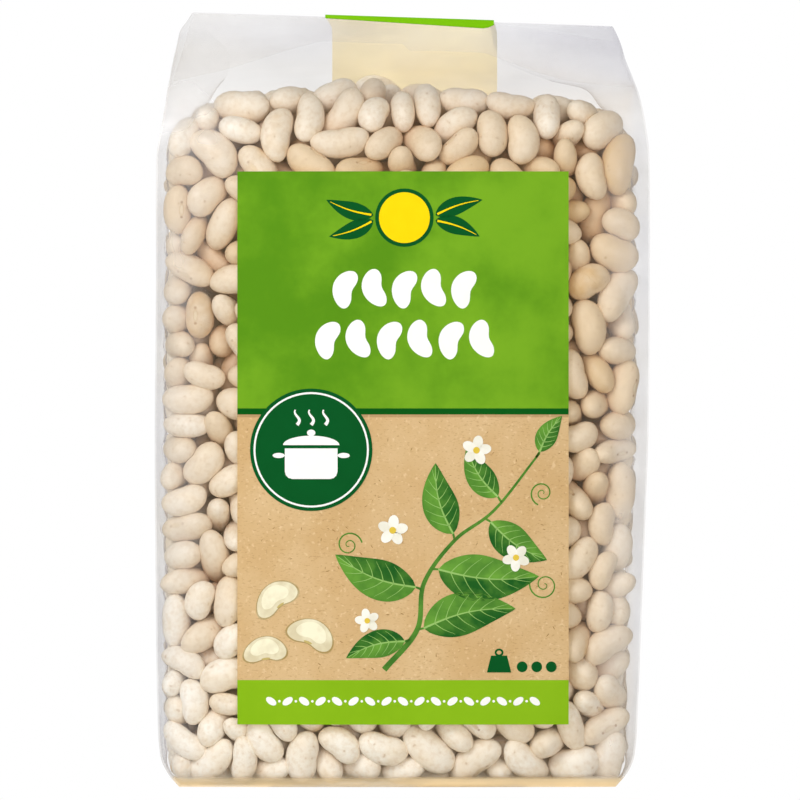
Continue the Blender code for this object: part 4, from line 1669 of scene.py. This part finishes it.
def printed(name, ink, colour, paper_piece, tree):
    """One colour of the print on the label."""
    mesh = mesh_from(name + "_flat", ink.points, ink.faces, smooth=False)
    add_attribute(mesh, "layer", "FLOAT", ink.layers)
    add_attribute(mesh, "shade", "FLOAT", ink.shades)
    work = bmesh.new()
    work.from_mesh(mesh)
    for _ in range(4):
        long_edges = [edge for edge in work.edges if edge.calc_length() > 2.6 * MM]
        if not long_edges:
            break
        bmesh.ops.subdivide_edges(work, edges=long_edges, cuts=1, use_grid_fill=True)
        bmesh.ops.triangulate(work, faces=work.faces)
    work.normal_update()
    bmesh.ops.reverse_faces(work, faces=[face for face in work.faces if face.normal.y > 0])
    work.to_mesh(mesh)
    work.free()
    piece = shaped(object_from(name + "_flat", mesh), tree, name, Paper=paper_piece, Colour=colour)
    keep(piece, "printed_paper", "front_label")


def fleck_tree():
    """Scatters small fibres over a patch and makes them real."""
    tree, given, result = shape_tree(
        "kraft flecks",
        (
            ("Fibre", "NodeSocketObject", None),
            ("Per Square Metre", "NodeSocketFloat", 45000.0),
            ("Seed", "NodeSocketInt", 3),
        ),
    )
    dots = node(
        tree,
        "GeometryNodeDistributePointsOnFaces",
        Mesh=given.outputs["Geometry"],
        Density=given.outputs["Per Square Metre"],
        Seed=given.outputs["Seed"],
    )
    turn = node(
        tree,
        "FunctionNodeRandomValue",
        {"data_type": "FLOAT_VECTOR"},
        Min=(0.0, -3.1, 0.0),
        Max=(0.0, 3.1, 0.0),
    )
    size = node(tree, "FunctionNodeRandomValue", {"data_type": "FLOAT"}, Min=0.5, Max=1.6)
    fibre = node(tree, "GeometryNodeObjectInfo", Object=given.outputs["Fibre"])
    rotation = node(tree, "FunctionNodeEulerToRotation", Euler=turn.outputs[0])
    placed = node(
        tree,
        "GeometryNodeInstanceOnPoints",
        Points=dots.outputs[0],
        Instance=fibre.outputs["Geometry"],
        Rotation=rotation.outputs[0],
        Scale=next(o for o in size.outputs if o.enabled),
    )
    real = node(tree, "GeometryNodeRealizeInstances", Geometry=placed.outputs[0])
    tree.links.new(real.outputs[0], result.inputs[0])
    return tree


def make_flecks(colour, paper_piece, tree):
    """Short dark fibres in the kraft paper, scattered over its field."""
    edge, low, high = LABEL_HALF_WIDTH - 0.0008, LOW_STRIP_TOP + 0.0008, DARK_LINE_BOTTOM - 0.0015
    corners = [(x, INK_PLANE_Y, z) for x, z in ((-edge, low), (edge, low), (edge, high), (-edge, high))]
    field = object_from("kraft_field", mesh_from("kraft_field", corners, [(0, 1, 2, 3)], False))
    thin = ((-0.00030, -0.00004), (0.0, -0.00008), (0.00030, -0.00003))
    thin += ((0.00028, 0.00005), (0.0, 0.00006))
    fibre = object_from(
        "fibre", mesh_from("fibre", [(x, 0.0, z) for x, z in thin], [tuple(range(5))], False)
    )
    scattered = shaped(field, fleck_tree(), "flecks_flat", Fibre=fibre)
    bpy.data.objects.remove(fibre, do_unlink=True)
    count = len(scattered.data.vertices)
    add_attribute(scattered.data, "layer", "FLOAT", [0.0] * count)
    piece = shaped(scattered, tree, "kraft_flecks", Paper=paper_piece, Colour=colour)
    keep(piece, "printed_paper", "front_label")


def ink_surface():
    """Ink for any printed colour: between two tones, after each shape's own shade, and a little
    uneven."""
    tree, given, result = named_tree(
        "ShaderNodeTree",
        "ink surface",
        (
            ("Place", "NodeSocketVector", None),
            ("Shade", "NodeSocketFloat", 0.0),
            ("Dark", "NodeSocketColor", None),
            ("Light", "NodeSocketColor", None),
        ),
        (("Colour", "NodeSocketColor"),),
    )
    uneven = spread(tree, noise(tree, given.outputs["Place"], 300.0, 3.0), 0.3, 0.7, -0.18, 0.18)
    share = math_node(tree, "ADD", given.outputs["Shade"], uneven)
    colour = mixed(tree, share, given.outputs["Dark"], given.outputs["Light"])
    tree.links.new(colour, result.inputs["Colour"])
    return tree


def shaded_ink(name, surface, dark, light):
    made, tree, shader = shader_material(name, **PRINT_GLOSS)
    ink = node(
        tree,
        "ShaderNodeGroup",
        {"node_tree": surface},
        Place=object_place(tree),
        Shade=mark_of(tree, "shade"),
        Dark=dark,
        Light=light,
    )
    tree.links.new(ink.outputs["Colour"], shader.inputs["Base Color"])
    return made


def make_print(paper_piece):
    tree = laid_tree()
    dark, white, yellow, leaves, veins, petals, hearts, cream, scars = (Ink() for _ in range(9))
    draw_emblem(yellow, dark)
    draw_title(white)
    draw_badge(dark, white)
    draw_weight(dark)
    draw_border(white)
    draw_plant(leaves, veins, petals, hearts)
    draw_loose_beans(cream, scars)
    inks = (
        ("dark_green_shapes", dark, linear(0, 82, 31), linear(0, 88, 35)),
        ("white_shapes", white, linear(250, 250, 246), linear(252, 252, 249)),
        ("yellow_shapes", yellow, linear(250, 214, 0), linear(255, 222, 10)),
        ("leaf_shapes", leaves, linear(28, 92, 30), linear(112, 168, 62)),
        ("leaf_veins", veins, linear(140, 186, 96), linear(160, 202, 116)),
        ("blossom_petals", petals, linear(214, 208, 178), linear(252, 250, 240)),
        ("blossom_hearts", hearts, linear(222, 190, 60), linear(236, 206, 84)),
        ("printed_beans", cream, linear(176, 150, 96), linear(250, 244, 214)),
        ("printed_bean_scars", scars, linear(196, 176, 108), linear(206, 186, 118)),
    )
    surface = ink_surface()
    for name, ink, low, high in inks:
        printed(name, ink, shaded_ink(name + "_ink", surface, low, high), paper_piece, tree)
    flecks = shaded_ink("fleck_ink", surface, linear(166, 128, 76), linear(192, 152, 98))
    make_flecks(flecks, paper_piece, tree)


# The surroundings


def white_to_camera(tree, shader, surface):
    """Plain white where the camera looks straight at it, and the shader for all other light."""
    white = node(tree, "ShaderNodeEmission", Color=(1.0, 1.0, 1.0, 1.0), Strength=1.0)
    seen = node(tree, "ShaderNodeLightPath").outputs["Is Camera Ray"]
    choice = tree.nodes.new("ShaderNodeMixShader")
    tree.links.new(seen, choice.inputs[0])
    tree.links.new(shader.outputs[0], choice.inputs[1])
    tree.links.new(white.outputs[0], choice.inputs[2])
    tree.links.new(choice.outputs[0], surface)


def make_floor():
    mesh = mesh_from("floor", [(-4, -4, 0), (4, -4, 0), (4, 4, 0), (-4, 4, 0)], [(0, 1, 2, 3)], False)
    grey = (0.9, 0.9, 0.9, 1.0)
    made, tree, shader = shader_material(
        "white_floor", Base_Color=grey, Roughness=0.8, Specular_IOR_Level=0.1
    )
    white_to_camera(tree, shader, tree.nodes["Material Output"].inputs["Surface"])
    object_from("floor", mesh, made)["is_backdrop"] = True


def area_light(name, place, size, power, aim=(0.0, 0.0, 0.08)):
    light = bpy.data.lights.new(name, "AREA")
    light.shape = "RECTANGLE"
    light.size, light.size_y = size
    light.energy = power
    made = bpy.data.objects.new(name, light)
    made.location = place
    made.rotation_euler = (Vector(aim) - Vector(place)).to_track_quat("-Z", "Y").to_euler()
    bpy.context.scene.collection.objects.link(made)


def make_light():
    world = bpy.data.worlds.new("white_room")
    world.use_nodes = True
    tree = world.node_tree
    background = tree.nodes["Background"]
    background.inputs["Color"].default_value = (1.0, 0.972, 0.915, 1.0)
    background.inputs["Strength"].default_value = WORLD_STRENGTH
    white_to_camera(tree, background, tree.nodes["World Output"].inputs["Surface"])
    bpy.context.scene.world = world
    area_light("key", (-0.75, -1.0, 0.85), (0.7, 0.7), KEY_POWER)
    area_light("fill", (0.35, -1.2, 0.14), (0.8, 0.25), FILL_POWER, (0.0, 0.0, 0.03))
    view = bpy.context.scene.view_settings
    view.view_transform = "Standard"
    view.exposure = 0.0


def make_camera():
    """Straight in front, at the height of the photograph's middle."""
    camera = bpy.data.cameras.new("camera")
    camera.sensor_width = SENSOR
    camera.lens = SENSOR * CAMERA_DISTANCE / (PHOTO_SIDE * PIXEL)
    camera.clip_start, camera.clip_end = 0.01, 50.0
    made = bpy.data.objects.new("camera", camera)
    x = (PHOTO_SIDE / 2 - MIDDLE_COLUMN) * PIXEL
    z = (BASE_ROW - PHOTO_SIDE / 2) * PIXEL
    made.location = (x, FRONT_CORNER_Y - CAMERA_DISTANCE, z)
    made.rotation_euler = (math.pi / 2, 0.0, 0.0)
    bpy.context.scene.collection.objects.link(made)
    bpy.context.scene.camera = made


def main():
    make_camera()
    make_light()
    make_floor()
    front, other, _ = make_beans()
    surface = film_surface()
    film = clear_film("clear_film", surface, linear(170, 169, 182), linear(186, 178, 170), 0.04, 0.22)
    make_film(film, front, other)
    folded = clear_film(
        "folded_film", surface, linear(238, 238, 244), linear(246, 240, 232), 0.3, 0.6, 0.10
    )
    make_flap(folded)
    sheet = paper_surface()
    kraft_look = {"Patch_Scale": 60.0, "Grain_Scale": 1200.0, "Fibre": 0.45}
    green = paper(
        "leaf_green_print", sheet, linear(88, 145, 19), linear(120, 173, 33), Patch_Scale=45.0, Drift=3.0
    )
    kraft = paper("kraft_paper", sheet, linear(209, 173, 122), linear(219, 187, 140), **kraft_look)
    # Kraft darkened for the painted shadow under the dark line.
    shadow = paper("kraft_in_shadow", sheet, linear(184, 149, 104), linear(192, 157, 112), **kraft_look)
    line = paper("dark_green_print", sheet, linear(0, 84, 16), linear(2, 90, 20))
    low = paper("bright_green_print", sheet, linear(133, 182, 20), linear(140, 188, 26))
    cream = paper("cream_paper_back", sheet, linear(247, 237, 199), linear(249, 241, 212))
    glow_through(cream, 0.35, 0.52, 0.1485, 0.1600)
    bright = paper("fresh_green_print", sheet, linear(126, 198, 10), linear(132, 204, 16))
    label = make_front_label([low, kraft, shadow, line, green, cream])
    make_closing_label([cream, bright, line, kraft])
    make_print(label)


main()

boxes = {"cad": CAD_BOX, "scene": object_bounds()}
{name: [list(corner) for corner in box] for name, box in boxes.items()}
